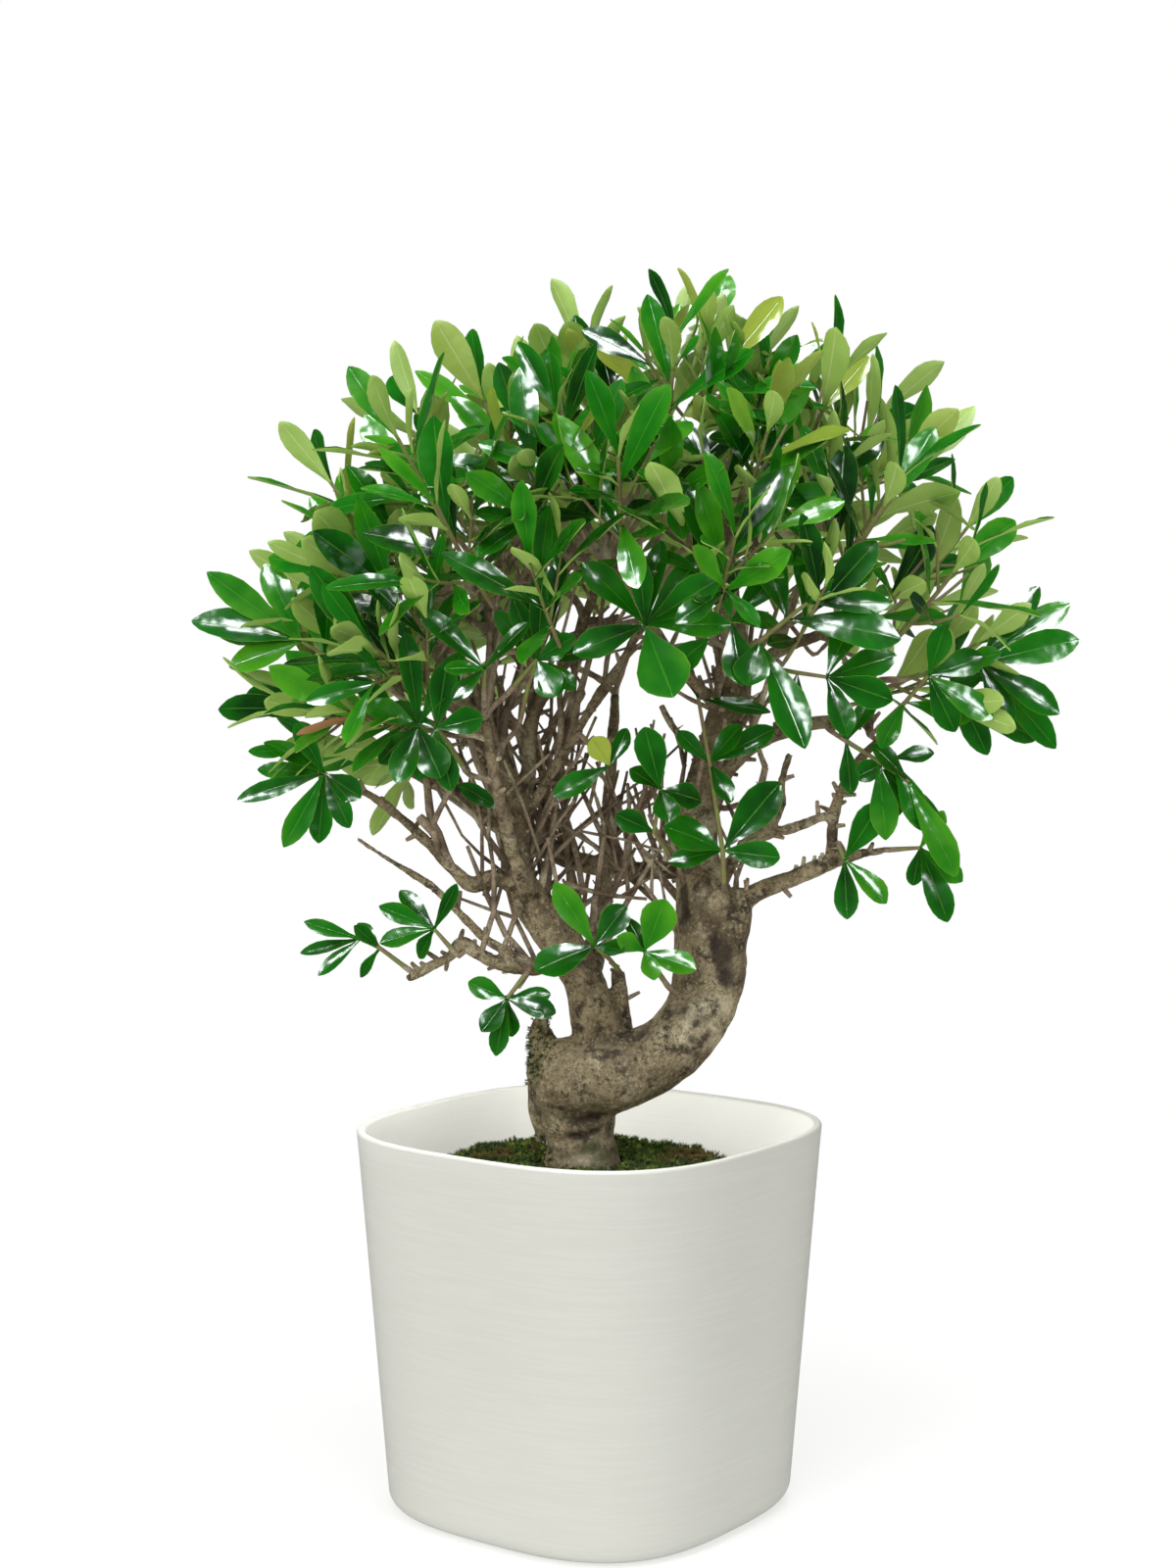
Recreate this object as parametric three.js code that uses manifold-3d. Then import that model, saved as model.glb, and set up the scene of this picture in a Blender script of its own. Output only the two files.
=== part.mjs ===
// An olive bonsai in a white planter. Its old trunk sweeps to the right and rises, a left limb forks
// off low down, and the twigs carry a round crown of leathery leaves, open at the front below.
// Millimetres, +Z up. The origin is the centre of the planter's underside, and the front faces -Y.

import * as THREE from "three";
import { mergeVertices } from "three/addons/utils/BufferGeometryUtils.js";
import Module from "manifold-3d";

const wasm = await Module();
wasm.setup();

// Driving dimensions

const gap = 0.3; // left between pieces that touch

const planter = {
  height: 205,
  rimHalf: 111.5, // half the width across the flats at the rim
  footHalf: 96.4, // and at the foot
  squareness: 3, // exponent of the superellipse seen from above
  turn: THREE.MathUtils.degToRad(-36.6), // one corner stands a little left of the front
  wall: 4.2,
  floor: 7,
  footRadius: 11,
  lipRadius: 1.4,
  segments: 48,
};

const soil = {
  mixTop: 150,
  ballRadius: 74,
  ballTaper: 2, // how much narrower the ball is at its foot
  ballFoot: 60,
  ballTop: 178,
  ballX: -3,
  ballSegments: 28,
  mossThickness: 5,
  mossOverhang: 2,
  mossSwell: 0.9, // how far the moss swells and dips
  holeX: -5.5, // the plain hole that the trunk's foot stands in
  holeRadius: 23.6,
  holeFloor: 125.7,
  holeSegments: 20,
};

const crown = {
  centre: [32, 5, 457],
  reach: [232, 184, 198], // from the centre to the furthest leaf tips
  shell: 92, // how deep inside that reach the sprays begin
  inset: 0.16, // how much deeper every third one begins, as a share of the way from the centre
  insetSpread: 0.064, // and how much deeper the others may begin
  rows: 48, // steps of the golden spiral that places the sprays, from the top down
  highest: 0.985, // the highest spray, as a share of the reach
  lowestFront: 0.08, // the lowest at the front and back
  lowestLeft: -0.72,
  lowestRight: -0.4,
  lift: 0.8, // how far the sprays turn up from the outward direction
  wander: 0.2, // how far they turn aside at random
};

const shoot = {
  length: 58,
  lengthSpread: [0.88, 1.12],
  sideLength: 36,
  sideAngle: 0.85,
  sides: 3,
  baseRadius: 1.5,
  tipRadius: 1.1,
  forkShare: 0.26, // where the side shoot leaves the main one
  rings: [0.14, 0.6, 1], // shares of the side shoot's length where its three edges have corners
  lift: 0.16, // how far the end turns up, as a share of the length
  sway: 6, // how much further aside each new attempt moves the end
  turnStep: 1.1, // how much further round each new attempt turns a side shoot
  tries: 12,
};

const leaf = {
  length: 50,
  sizeSpread: 0.5, // the range of lengths, as a share of the mean
  slimness: 0.335, // width over length
  widthSpread: [0.8, 1.2],
  fullness: 1.4, // 1 is widest halfway, more is widest nearer the tip
  keel: 0.55, // the midrib's depth below the blade
  stations: [0.3, 0.6, 0.86], // shares of the length where the blade's three edges have corners
  arch: [0.02, 0.15], // how far the tip hangs below the line of the foot, as a share of the length
  fold: [0.1, 0.2], // how far the edges stand up from the midrib, as a share of the half width
  twist: [-0.25, 0.25],
  bluntness: [0.72, 0.94], // 1 is a pointed blade, less is a blunter one
  droop: 0.06, // how far a leaf's weight turns it down
  towardTip: 0.6, // how much its face turns to the shoot's tip, the sky and away from the crown
  towardSky: 0.4,
  towardOutside: 0.6,
  nodeHalf: 1.2, // half the length of the short stretch of twig that a pair of leaves grows on
  tries: 6,
};

// Where there's no room, a leaf tries again: turned further round and out, or aside, and a little smaller.
const retry = {
  round: [0.3, 0.35], // the random turn round the shoot the first time, and what each new attempt adds
  out: [0.25, 0.2], // the same for the angle out from the shoot
  aside: [0.35, 0.5, 0.35], // what each new attempt adds to a placed leaf's random turn along x, y and z
  shrink: 0.05,
};

// Where each set of repeatable draws begins
const seeds = {
  stem: 500,
  placedLeaf: 900,
  placedSpray: 20, // from one placed spray to the next
  crown: 7000,
  crownSpray: 100, // from one crown spray to the next
  mainLeaf: 11,
  sideLeaf: 61,
  node: 10, // from one pair of leaves to the next
  other: 5, // from a leaf to the other one of its pair
  attempt: 40000,
  sway: 77,
};

// A leaf or shoot grows from one of its twig's facets.
const rooting = {
  reach: 3.4, // how far from its place it may take root
  facing: 0.2, // how squarely its root facet has to face its way, as a cosine
  outness: 0.35, // how much a millimetre further out counts against facing
  lift: 0.01, // how far its root is held off its facet while it is tested for room
};

const branch = {
  step: 36,
  tipRadius: 1.5,
  thickening: 0.011, // what a millimetre of length adds to the radius at its foot
  thickest: 0.8, // as a share of the radius that it leaves
  hold: 4, // the straight end that holds a spray
  sides: 3,
  shortest: 7,
  lowest: 238, // nothing branches off below this height
  leavingCost: 0.5, // how much a sharp bend at each end counts against a way
  arrivingCost: 0.45,
  follow: 0.45, // how far it leaves along its parent
  wobble: 0.05, // how crooked it is, as a share of its length
};

// Each limb is a centre line set by hand: x, y, z and radius at each point.

const limbs = [
  { name: "foot", sides: 12, line: [[-5.5, 0, 126, 18], [-5.5, 0, 150, 21], [-5.5, 0, 172, 22.4],
    [-5.5, 0, 184, 21], [-6, 0, 198, 19.3], [-7, -2, 214, 20.5], [-8, -3, 229, 20]] },
  { name: "trunk", sides: 10, line: [[-34, -2, 228, 7], [-27, -2, 228.5, 17.5], [-13, -4, 229.5, 22.4],
    [5, -8, 231, 21.8], [31, -8, 240, 19.2], [46, -6, 250, 18.2], [57, -4, 265, 18.2], [62.5, -1, 282, 19.5],
    [64, 1, 300, 19.7], [63, 2, 316, 19.2], [60, 4, 330, 15], [58, 6, 345, 12.1], [57, 7, 363, 10.5],
    [59, 8, 384, 9.4], [65, 9, 405, 8.9], [72, 10, 426, 8.4], [77, 11, 447, 7.9], [76, 12, 468, 7.1],
    [73, 12, 491, 6.3], [71, 12, 515, 5.2], [69, 14, 536, 4.2], [71, 16, 556, 3.1]] },
  { name: "shoulder", sides: 8, line: [[66, -3, 286, 13], [72, -6, 306, 12], [77, -7, 322, 9],
    [79, -8, 333, 4.5]] },
  { name: "knot", sides: 6, line: [[62, -8, 316, 9], [67, -16, 325, 6.5], [70, -20, 332, 4]] },
  { name: "snag", sides: 7, line: [[-20, 3, 230, 12], [-25, 4, 246, 8.5], [-27, 5, 257, 5.5],
    [-23, 6, 263, 2]] },
  { name: "buttress", sides: 7, line: [[-22, 6, 238, 11], [-25, 7, 215, 9], [-22, 6, 195, 7.5],
    [-14, 4, 176, 6]] },
  { name: "left_limb", sides: 8, line: [[8, -2, 238, 17], [3, 0, 259, 13.8], [-2, 0, 277, 11.4],
    [-12, -2, 297, 11], [-24, -4, 314, 11.4], [-34, -6, 328, 10], [-38, -8, 340, 7.6]] },
  { name: "cut_stub", sides: 6, line: [[15, 3, 250, 8.5], [16, 6, 267, 4.9], [15, 8, 280, 4.2],
    [15, 9, 286, 3.6]] },
  { name: "left_arm", sides: 5, line: [[-34, -8, 331, 6], [-50, -12, 338, 4.8], [-61, -14, 335, 4.7],
    [-68, -15, 339, 3.6], [-80, -16, 351, 3.1], [-95, -14, 366, 2.6], [-113, -12, 380, 2.3],
    [-127, -10, 387, 2]] },
  { name: "left_rise", sides: 5, line: [[-36, -8, 333, 7.4], [-38, -8, 351, 5.8], [-37, -6, 368, 5.7],
    [-41, -4, 385, 5.2], [-48, -4, 399, 4.6], [-56, -6, 407, 4.1], [-68, -10, 414, 3.7],
    [-79, -16, 417, 3]] },
  { name: "left_spire", sides: 4, line: [[-41, -2, 387, 4.2], [-49, 0, 403, 3.9], [-54, 2, 421, 3.6],
    [-55, 4, 439, 3.1], [-52, 6, 457, 2.9], [-55, 8, 481, 2.6], [-62, 10, 498, 2.2]] },
  { name: "middle_spire", sides: 4, line: [[-37, -4, 366, 4.7], [-33, 2, 392, 4.5], [-33, 6, 410, 4.1],
    [-30, 8, 426, 3.7], [-21, 10, 440, 3.4], [-9, 13, 460, 3.1], [1, 15, 486, 2.7], [8, 16, 506, 2.3]] },
  { name: "cross_twig", sides: 4, line: [[-36, -7, 368, 3.4], [-18, -10, 398, 3], [-5, -10, 420, 3],
    [7, -8, 438, 2.8], [19, -7, 457, 2.5], [27, -8, 476, 2.1]] },
  { name: "back_arm", sides: 5, line: [[54, 10, 338, 6], [41, 24, 339, 5.4], [20, 34, 338, 5.4],
    [-7, 38, 342, 5.4], [-31, 38, 352, 5.6], [-52, 36, 365, 5.9], [-71, 32, 379, 5.7], [-89, 28, 390, 5],
    [-107, 24, 399, 4.2], [-122, 20, 407, 3]] },
  { name: "low_left", sides: 4, line: [[-18, -6, 295, 4.5], [-30, -11, 290, 3.7], [-45, -16, 292, 3.6],
    [-58, -18, 298, 3.6], [-68, -20, 304, 4], [-75, -21, 297, 3],
    [-85, -20, 292, 2.7], [-97, -18, 285, 2.3]] },
  { name: "low_left_twig", sides: 4, line: [[-28, -10, 291, 2.8], [-39, -14, 297, 2.4], [-55, -16, 306, 2.4],
    [-75, -16, 326, 2.3], [-85, -15, 335, 2.3], [-105, -12, 347, 2], [-124, -8, 359, 1.7]] },
  { name: "right_low", sides: 5, line: [[72, -6, 318, 7], [80, -7, 325, 6.2], [89, -8, 331, 5.2],
    [107, -10, 338, 4.8], [126, -12, 346, 4], [142, -14, 351, 2.6], [155, -17, 353, 1.9]] },
  { name: "right_low_rise", sides: 4, line: [[127, -12, 345, 3.2], [128, -12, 368, 3.1], [131, -12, 382, 3],
    [140, -12, 398, 2.6], [150, -12, 410, 2.2]] },
  { name: "right_fork", sides: 4, line: [[64, -1, 335, 4], [85, -10, 358, 3.5], [94, -12, 367, 3.5],
    [100, -12, 377, 2.8], [101, -12, 391, 2.3], [105, -12, 404, 2]] },
  { name: "right_fork_twig", sides: 4, line: [
    [88, -10, 359, 2.6], [107, -12, 365, 2.6], [127, -13, 372, 2.4]] },
  { name: "right_arm", sides: 5, line: [[60, 7, 385, 6.5], [72, 0, 396, 5.4], [84, -2, 407, 4.8],
    [100, -3, 415, 4.4], [120, -4, 420, 4.1], [149, -6, 421, 3.4]] },
  { name: "right_arm_rise", sides: 4, line: [[148, -6, 412, 2.4], [147, -6, 424, 3.2], [148, -6, 440, 2.8],
    [150, -6, 454, 2.5], [157, -8, 461, 2.1]] },
  { name: "right_spire", sides: 4, line: [[75, 10, 442, 4.8], [90, 9, 451, 4.2], [104, 8, 460, 3.7],
    [121, 8, 466, 3.1], [138, 9, 474, 2.4]] },
  { name: "back_left", sides: 4, line: [[-22, -2, 312, 6], [-36, 18, 330, 5.5], [-46, 42, 352, 5],
    [-54, 64, 378, 4.3], [-60, 82, 406, 3.4], [-62, 92, 430, 2.6]] },
  { name: "back_right", sides: 4, line: [[58, 8, 352, 6], [66, 30, 372, 5.2], [76, 56, 396, 4.5],
    [84, 76, 422, 3.6], [90, 90, 446, 2.6]] },
  { name: "back_middle", sides: 4, line: [[-2, 2, 276, 5.5], [4, 26, 300, 5], [8, 48, 332, 4.6],
    [10, 68, 368, 4], [12, 84, 404, 3.2], [14, 94, 432, 2.4]] },
  { name: "front_right", sides: 4, line: [[70, 9, 424, 4.2], [62, -18, 434, 3.6], [50, -44, 446, 3],
    [40, -66, 459, 2.3]] },
  { name: "front_far", sides: 4, line: [[72, 10, 440, 3.6], [66, -20, 446, 3], [66, -46, 450, 2.6],
    [73, -68, 456, 2]] },
  { name: "front_left", sides: 4, line: [[-30, -6, 322, 5], [-38, -26, 346, 4.2], [-45, -42, 374, 3.6],
    [-50, -54, 402, 3], [-54, -60, 424, 2.3]] },
];

// The sprays of the open front and the low sides. A stem runs through its points, and each leaf is a
// step from its stem point to its tip, x, y and z, its width, and how many points back it grows.

const placedSprays = [
  { name: "spray_hanging", stem: [[-35, -20, 287], [-44, -26, 276]],
    leaves: [[-20, -6, 10, 10], [-13, -10, -16, 10], [-6, -4, -30, 9], [3, 9, -24, 8], [26, -8, -6, 10],
      [24, 6, 2, 8], [4, 12, 20, 10]] },
  { name: "spray_fork", stem: [[14, -12, 290], [10, -28, 297], [2, -34, 305]],
    leaves: [[-21, -6, 34, 12], [-31, -14, -11, 18], [16, -12, 0, 11], [17, 4, 22, 13]] },
  { name: "spray_trunk", stem: [[38, -24, 286], [28, -34, 302]],
    leaves: [[11, -4, 28, 17], [-14, -10, 9, 9], [27, -8, -8, 13], [5, -13, -13, 9], [-9, 8, 19, 8]] },
  { name: "spray_near", stem: [[-41, -18, 370], [-43, -30, 374]],
    leaves: [[-4, -8, -27, 10], [-26, -4, 16, 8]] },
  { name: "spray_pale", stem: [[-2, -22, 411], [10, -34, 399]],
    leaves: [[-30, -8, -15, 11], [-9, -6, 15, 11], [10, 6, 20, 8]] },
  { name: "spray_middle", stem: [[41, -18, 352], [33, -30, 364], [36, -36, 387]],
    leaves: [[-8, -6, 33, 14], [23, 4, -6, 13], [-16, 2, 11, 9], [5, -11, -16, 13], [-20, -7, 10, 11, 1]] },
  { name: "spray_sucker",
    stem: [[70, -22, 336], [69, -25, 354], [65, -27, 380], [62, -27, 400], [56, -24, 434]],
    leaves: [[-30, -12, 16, 19, 3], [-29, 2, -6, 10, 3], [30, -6, -3, 13, 3], [30, -2, 37, 17, 3],
      [12, -8, -20, 10, 1], [16, -4, 21, 12, 1], [34, -4, 19, 11, 1], [-17, 4, 17, 8, 1],
      [11, -5, 19, 10], [38, -6, -7, 9], [-10, 2, 23, 8]] },
  { name: "spray_heart", stem: [[37, -73, 463], [27, -92, 472]],
    leaves: [[14, -8, -36, 23], [43, -6, 2, 13], [-37, -4, -13, 14], [-3, -3, 34, 10], [-31, 4, 34, 14],
      [7, 9, 45, 10], [31, 6, 38, 13], [44, -6, 32, 15]] },
  { name: "spray_droop", stem: [[76, -75, 459], [84, -88, 464], [97, -93, 475], [107, -95, 483]],
    leaves: [[-7, -8, -22, 16, 2], [23, -12, -53, 18, 2], [59, -6, -6, 18, 1], [44, 4, 1, 10],
      [8, 0, 30, 12], [34, 2, 18, 10], [-12, 4, 36, 14, 1]] },
  { name: "spray_centre_left", stem: [[-40, -60, 440], [-27, -70, 455]],
    leaves: [[3, 2, 52, 10], [-12, 6, 39, 12], [9, -10, -19, 13], [19, -7, 12, 9], [25, 6, 4, 9]] },
  { name: "spray_drape", stem: [[-54, -68, 440], [-53, -79, 450]],
    leaves: [[-17, -6, -15, 8], [-20, -8, 2, 9], [-37, 2, 30, 11], [22, -5, 26, 8]] },
  { name: "spray_left_hub", stem: [[-80, -60, 418], [-87, -70, 421]],
    leaves: [[12, -8, -26, 15], [-11, -11, -28, 13], [22, -3, 40, 12], [-6, 2, 52, 11], [-29, -5, 15, 12],
      [-24, 7, -19, 11]] },
  { name: "spray_low_tip", stem: [[-98, -19, 292], [-111, -20, 302], [-121, -21, 307]],
    leaves: [[-30, -6, 10, 7], [-33, 5, -8, 6], [-23, -8, -18, 7], [-13, 9, 14, 7, 1], [-12, 9, -17, 6, 1],
      [-12, -10, 13, 7, 1]] },
  { name: "spray_low_left", stem: [[-73, -24, 302], [-82, -27, 313]],
    leaves: [[-29, -8, -5, 10], [-29, -2, 13, 9], [-19, 9, 22, 8], [13, -5, 24, 7], [-10, 8, -17, 8]] },
  { name: "spray_left_end", stem: [[-133, -13, 390], [-140, -16, 394]],
    leaves: [[-46, -8, -13, 9], [-33, 5, 20, 11], [-15, -5, 27, 9], [-21, -9, -39, 11], [-4, 7, -41, 11],
      [14, -12, -28, 10], [-38, 12, 2, 9], [20, -9, -12, 12]] },
  { name: "spray_far_left", stem: [[-122, -8, 448], [-140, -11, 456], [-152, -13, 463]],
    leaves: [[-50, -6, 38, 13], [-57, -10, 15, 16], [-46, 6, 5, 12], [-38, -4, -13, 15], [-20, 4, 44, 13],
      [4, -6, 46, 14, 1], [-14, 8, 40, 12, 1], [-36, 7, 24, 13], [-20, -9, -22, 12, 1]] },
  { name: "spray_right_drop", stem: [[131, -17, 355], [133, -22, 349]],
    leaves: [[1, -8, -31, 11], [24, -5, -22, 11], [19, -6, 31, 14]] },
  { name: "spray_right_end", stem: [[161, -18, 354], [173, -20, 355]],
    leaves: [[15, -8, -39, 13], [25, 5, -20, 10], [-3, 8, -22, 8], [12, -5, 20, 9]] },
  { name: "spray_right_hub", stem: [[152, -18, 407], [157, -25, 402]],
    leaves: [[19, -8, -37, 12], [-19, 2, -10, 10], [6, 8, -31, 9], [22, -5, 5, 9]] },
  { name: "spray_right_upper", stem: [[133, -10, 414], [134, -18, 411]],
    leaves: [[-8, -5, 30, 9], [2, -7, -28, 9], [15, 9, 28, 9]] },
  { name: "spray_far_right", stem: [[168, -10, 444], [188, -12, 448], [204, -13, 452]],
    leaves: [[54, -6, 14, 15], [44, -8, -26, 14], [46, 4, -46, 14], [34, 8, 44, 13], [18, -6, -34, 12],
      [10, 10, 40, 12, 1], [50, 6, 34, 13], [26, -12, 10, 11, 1], [22, 4, -46, 12, 1]] },
];

// Repeatable draws

function seededDraw(seed) {
  let state = Math.imul(seed + 1, 0x9e3779b1) >>> 0;
  return () => {
    state = (state + 0x6d2b79f5) >>> 0;
    let mixed = Math.imul(state ^ (state >>> 15), state | 1);
    mixed ^= mixed + Math.imul(mixed ^ (mixed >>> 7), mixed | 61);
    return ((mixed ^ (mixed >>> 14)) >>> 0) / 4294967296;
  };
}

const between = ([low, high], draw) => low + (high - low) * draw();

// Vectors

const up = new THREE.Vector3(0, 0, 1);
const towardViewer = new THREE.Vector3(0, -0.8, 0.6); // forward and up, the way a placed leaf faces

const point = ([x, y, z]) => new THREE.Vector3(x, y, z);
const along = (from, direction, distance) => from.clone().addScaledVector(direction, distance);
const direction = (from, to) => to.clone().sub(from).normalize();

function squareTo(axis, wanted) {
  const flat = wanted.clone().addScaledVector(axis, -wanted.dot(axis));
  if (flat.length() < 1e-3) flat.set(1, 0, 0).addScaledVector(axis, -axis.x);
  return flat.normalize();
}

// Solids

// A geometry's corners with equal ones joined, and its facets as triples of corner numbers.
function shapeOf(geometry) {
  const bare = geometry.clone();
  bare.deleteAttribute("normal");
  bare.deleteAttribute("uv");
  const merged = mergeVertices(bare, 1e-4);
  const place = merged.attributes.position;
  const points = Array.from({ length: place.count }, (_, i) =>
    new THREE.Vector3().fromBufferAttribute(place, i));
  const facets = [];
  for (let i = 0; i < merged.index.count; i += 3) {
    const facet = [0, 1, 2].map((k) => merged.index.getX(i + k));
    if (new Set(facet).size === 3) facets.push(facet);
  }
  return { points, facets };
}

function solidFrom({ points, facets }) {
  return new wasm.Manifold(new wasm.Mesh({
    numProp: 3,
    vertProperties: new Float32Array(points.flatMap((place) => place.toArray())),
    triVerts: new Uint32Array(facets.flat()),
  }));
}

const solidOf = (geometry) => solidFrom(shapeOf(geometry));

function meshOf(name, solid, material) {
  const { vertProperties, triVerts } = solid.getMesh();
  const geometry = new THREE.BufferGeometry();
  geometry.setAttribute("position", new THREE.BufferAttribute(vertProperties, 3));
  geometry.setIndex(new THREE.BufferAttribute(triVerts, 1));
  geometry.computeVertexNormals();
  const mesh = new THREE.Mesh(geometry, material);
  mesh.name = name;
  return mesh;
}

const overlaps = (a, b) => a.intersect(b).volume() > 1e-6;

// A round profile of radius and height pairs turned about the vertical.
function turned(profile, segments) {
  const outline = profile.map(([radius, height]) => new THREE.Vector2(radius, height));
  return new THREE.LatheGeometry(outline, segments).rotateX(Math.PI / 2);
}

// The same with the planter's square-round plan: each corner moves out to the superellipse.
function squareTurned(profile) {
  const geometry = turned(profile, planter.segments);
  const place = geometry.attributes.position;
  for (let i = 0; i < place.count; i++) {
    const x = place.getX(i);
    const y = place.getY(i);
    const radius = Math.hypot(x, y);
    if (radius < 1e-6) continue;
    const power = Math.abs(x / radius) ** planter.squareness + Math.abs(y / radius) ** planter.squareness;
    const stretch = power ** (-1 / planter.squareness);
    place.setXY(i, x * stretch, y * stretch);
  }
  return geometry.rotateZ(planter.turn);
}

// A closed tube through the centres, made from a cylinder whose rings are moved onto them.
function tube(centres, radii, sides) {
  const steps = centres.length - 1;
  const tangents = centres.map((_, i) =>
    direction(centres[Math.max(i - 1, 0)], centres[Math.min(i + 1, steps)]));
  let across = squareTo(tangents[0], Math.abs(tangents[0].z) > 0.9 ? new THREE.Vector3(1, 0, 0) : up);
  const frames = tangents.map((tangent) => {
    across = squareTo(tangent, across);
    return { across, other: new THREE.Vector3().crossVectors(tangent, across) };
  });
  const geometry = new THREE.CylinderGeometry(1, 1, 1, sides, steps);
  const place = geometry.attributes.position;
  const moved = new THREE.Vector3();
  for (let i = 0; i < place.count; i++) {
    const ring = Math.round((0.5 - place.getY(i)) * steps);
    moved.copy(centres[ring]);
    moved.addScaledVector(frames[ring].across, place.getX(i) * radii[ring]);
    moved.addScaledVector(frames[ring].other, place.getZ(i) * radii[ring]);
    place.setXYZ(i, moved.x, moved.y, moved.z);
  }
  return geometry;
}

// Leaves

// How wide the blade is at a share of its length, as a share of its greatest width.
const bladeWidth = (share, bluntness) => Math.sin(Math.PI * share ** leaf.fullness) ** bluntness;

// The corners of a blade: at each station its keel, its left and its right edge, and then the tip.
function bladeRings({ base, axis, normal, length, width, arch, fold, twist, bluntness }) {
  const side = new THREE.Vector3().crossVectors(normal, axis);
  const corner = (share, across, rise) => {
    const place = along(base, axis, length * share * (1 - 0.3 * arch * share));
    return along(along(place, side, across), normal, rise - arch * length * share * share);
  };
  const rings = leaf.stations.map((share) => {
    const half = (bladeWidth(share, bluntness) * width) / 2;
    const across = half * Math.cos(twist * share);
    const tilt = half * Math.sin(twist * share);
    return [
      corner(share, 0, -leaf.keel),
      corner(share, across, half * fold + tilt),
      corner(share, -across, half * fold - tilt),
    ];
  });
  return { rings, tip: corner(1, 0, 0) };
}

// What grows from a twig

// A twig holds its corners, its bark facets, which leaves and shoots may grow from, and its blades' facets.
const twigOf = ({ points, facets }) => ({ points, bark: facets, blades: [] });
const solidOfTwig = ({ points, bark, blades }) => solidFrom({ points, facets: [...bark, ...blades] });

// The bark facet near a place that faces a way best and lies furthest out that way.
function rootFacet(twig, base, axis) {
  let best = { merit: -Infinity, index: -1 };
  twig.bark.forEach((facet, index) => {
    const triangle = new THREE.Triangle(...facet.map((corner) => twig.points[corner]));
    const facing = triangle.getNormal(new THREE.Vector3()).dot(axis);
    const away = triangle.getMidpoint(new THREE.Vector3()).sub(base);
    const merit = facing + rooting.outness * away.dot(axis);
    const fits = away.length() < rooting.reach && facing > rooting.facing;
    if (fits && merit > best.merit) best = { merit, index };
  });
  return best.index;
}

// The facet's corners in the turn that meets the first ring with the least twist.
function alignedFacet(twig, index, ring) {
  const facet = twig.bark[index];
  const spread = (places) => {
    const middle = places.reduce((sum, place) => sum.add(place), new THREE.Vector3()).divideScalar(3);
    return places.map((place) => place.clone().sub(middle).normalize());
  };
  const wanted = spread(ring);
  const turns = [0, 1, 2].map((shift) => [0, 1, 2].map((k) => facet[(k + shift) % 3]));
  const fit = (corners) =>
    spread(corners.map((corner) => twig.points[corner])).reduce((sum, arm, k) => sum + arm.dot(wanted[k]), 0);
  return turns.reduce((best, corners) => (fit(corners) > fit(best) ? corners : best));
}

// The facets between rings of three corner numbers and a tip, open at the first ring. Each four-sided
// stretch is split so that it bulges outward, which keeps a twisted one from crossing itself.
function facetsAlong(points, rings, tip) {
  const facets = [];
  for (let ring = 0; ring + 1 < rings.length; ring++) {
    for (let k = 0; k < 3; k++) {
      const next = (k + 1) % 3;
      const [a, b, c, d] = [rings[ring][k], rings[ring][next], rings[ring + 1][next], rings[ring + 1][k]];
      const normal = new THREE.Triangle(points[a], points[b], points[c]).getNormal(new THREE.Vector3());
      const bulges = points[d].clone().sub(points[a]).dot(normal) <= 0;
      facets.push(...(bulges ? [[a, b, c], [a, c, d]] : [[a, b, d], [b, c, d]]));
    }
  }
  const last = rings[rings.length - 1];
  for (let k = 0; k < 3; k++) facets.push([last[k], last[(k + 1) % 3], tip]);
  return facets;
}

// A leaf or shoot ready to grow: its root facet, its corners and a closed solid to test for room.
function outgrowth(twig, base, axis, { rings, tip }) {
  const index = rootFacet(twig, base, axis);
  if (index < 0) return null;
  const root = alignedFacet(twig, index, rings[0]);
  const triangle = new THREE.Triangle(...root.map((corner) => twig.points[corner]));
  const outward = triangle.getNormal(new THREE.Vector3());
  const held = root.map((corner) => along(twig.points[corner], outward, rooting.lift));
  const numbered = [held, ...rings].map((_, ring) => [0, 1, 2].map((k) => 3 * ring + k));
  const points = [...held, ...rings.flat(), tip];
  const facets = [[2, 1, 0], ...facetsAlong(points, numbered, 3 * numbered.length)];
  return { index, root, rings, tip, solid: solidFrom({ points, facets }) };
}

// The root facet gives way to what grows from it, so that all of it is one closed surface.
function grow(twig, { index, root, rings, tip }, facets) {
  const first = twig.points.length;
  const numbered = rings.map((_, ring) => [0, 1, 2].map((k) => first + 3 * ring + k));
  twig.points.push(...rings.flat(), tip);
  twig.bark.splice(index, 1);
  facets.push(...facetsAlong(twig.points, [root, ...numbered], twig.points.length - 1));
}

// The corners of a side shoot: three-cornered rings along its line, and its tip.
function shootRings(line) {
  const rings = shoot.rings.map((share) => {
    const tangent = line.getTangent(share);
    const across = squareTo(tangent, up);
    const other = new THREE.Vector3().crossVectors(tangent, across);
    return [0, 1, 2].map((k) => {
      const round = (k * 2 * Math.PI) / 3;
      const corner = along(line.getPoint(share), across, shoot.tipRadius * Math.cos(round));
      return along(corner, other, shoot.tipRadius * Math.sin(round));
    });
  });
  return { rings, tip: along(line.getPoint(1), line.getTangent(1), shoot.tipRadius / 2) };
}

// The drawn habit of one leaf: how it arches, folds and twists, and how blunt its tip is.
function leafHabit(draw) {
  return {
    arch: between(leaf.arch, draw),
    fold: between(leaf.fold, draw),
    twist: between(leaf.twist, draw),
    bluntness: between(leaf.bluntness, draw),
  };
}

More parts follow.
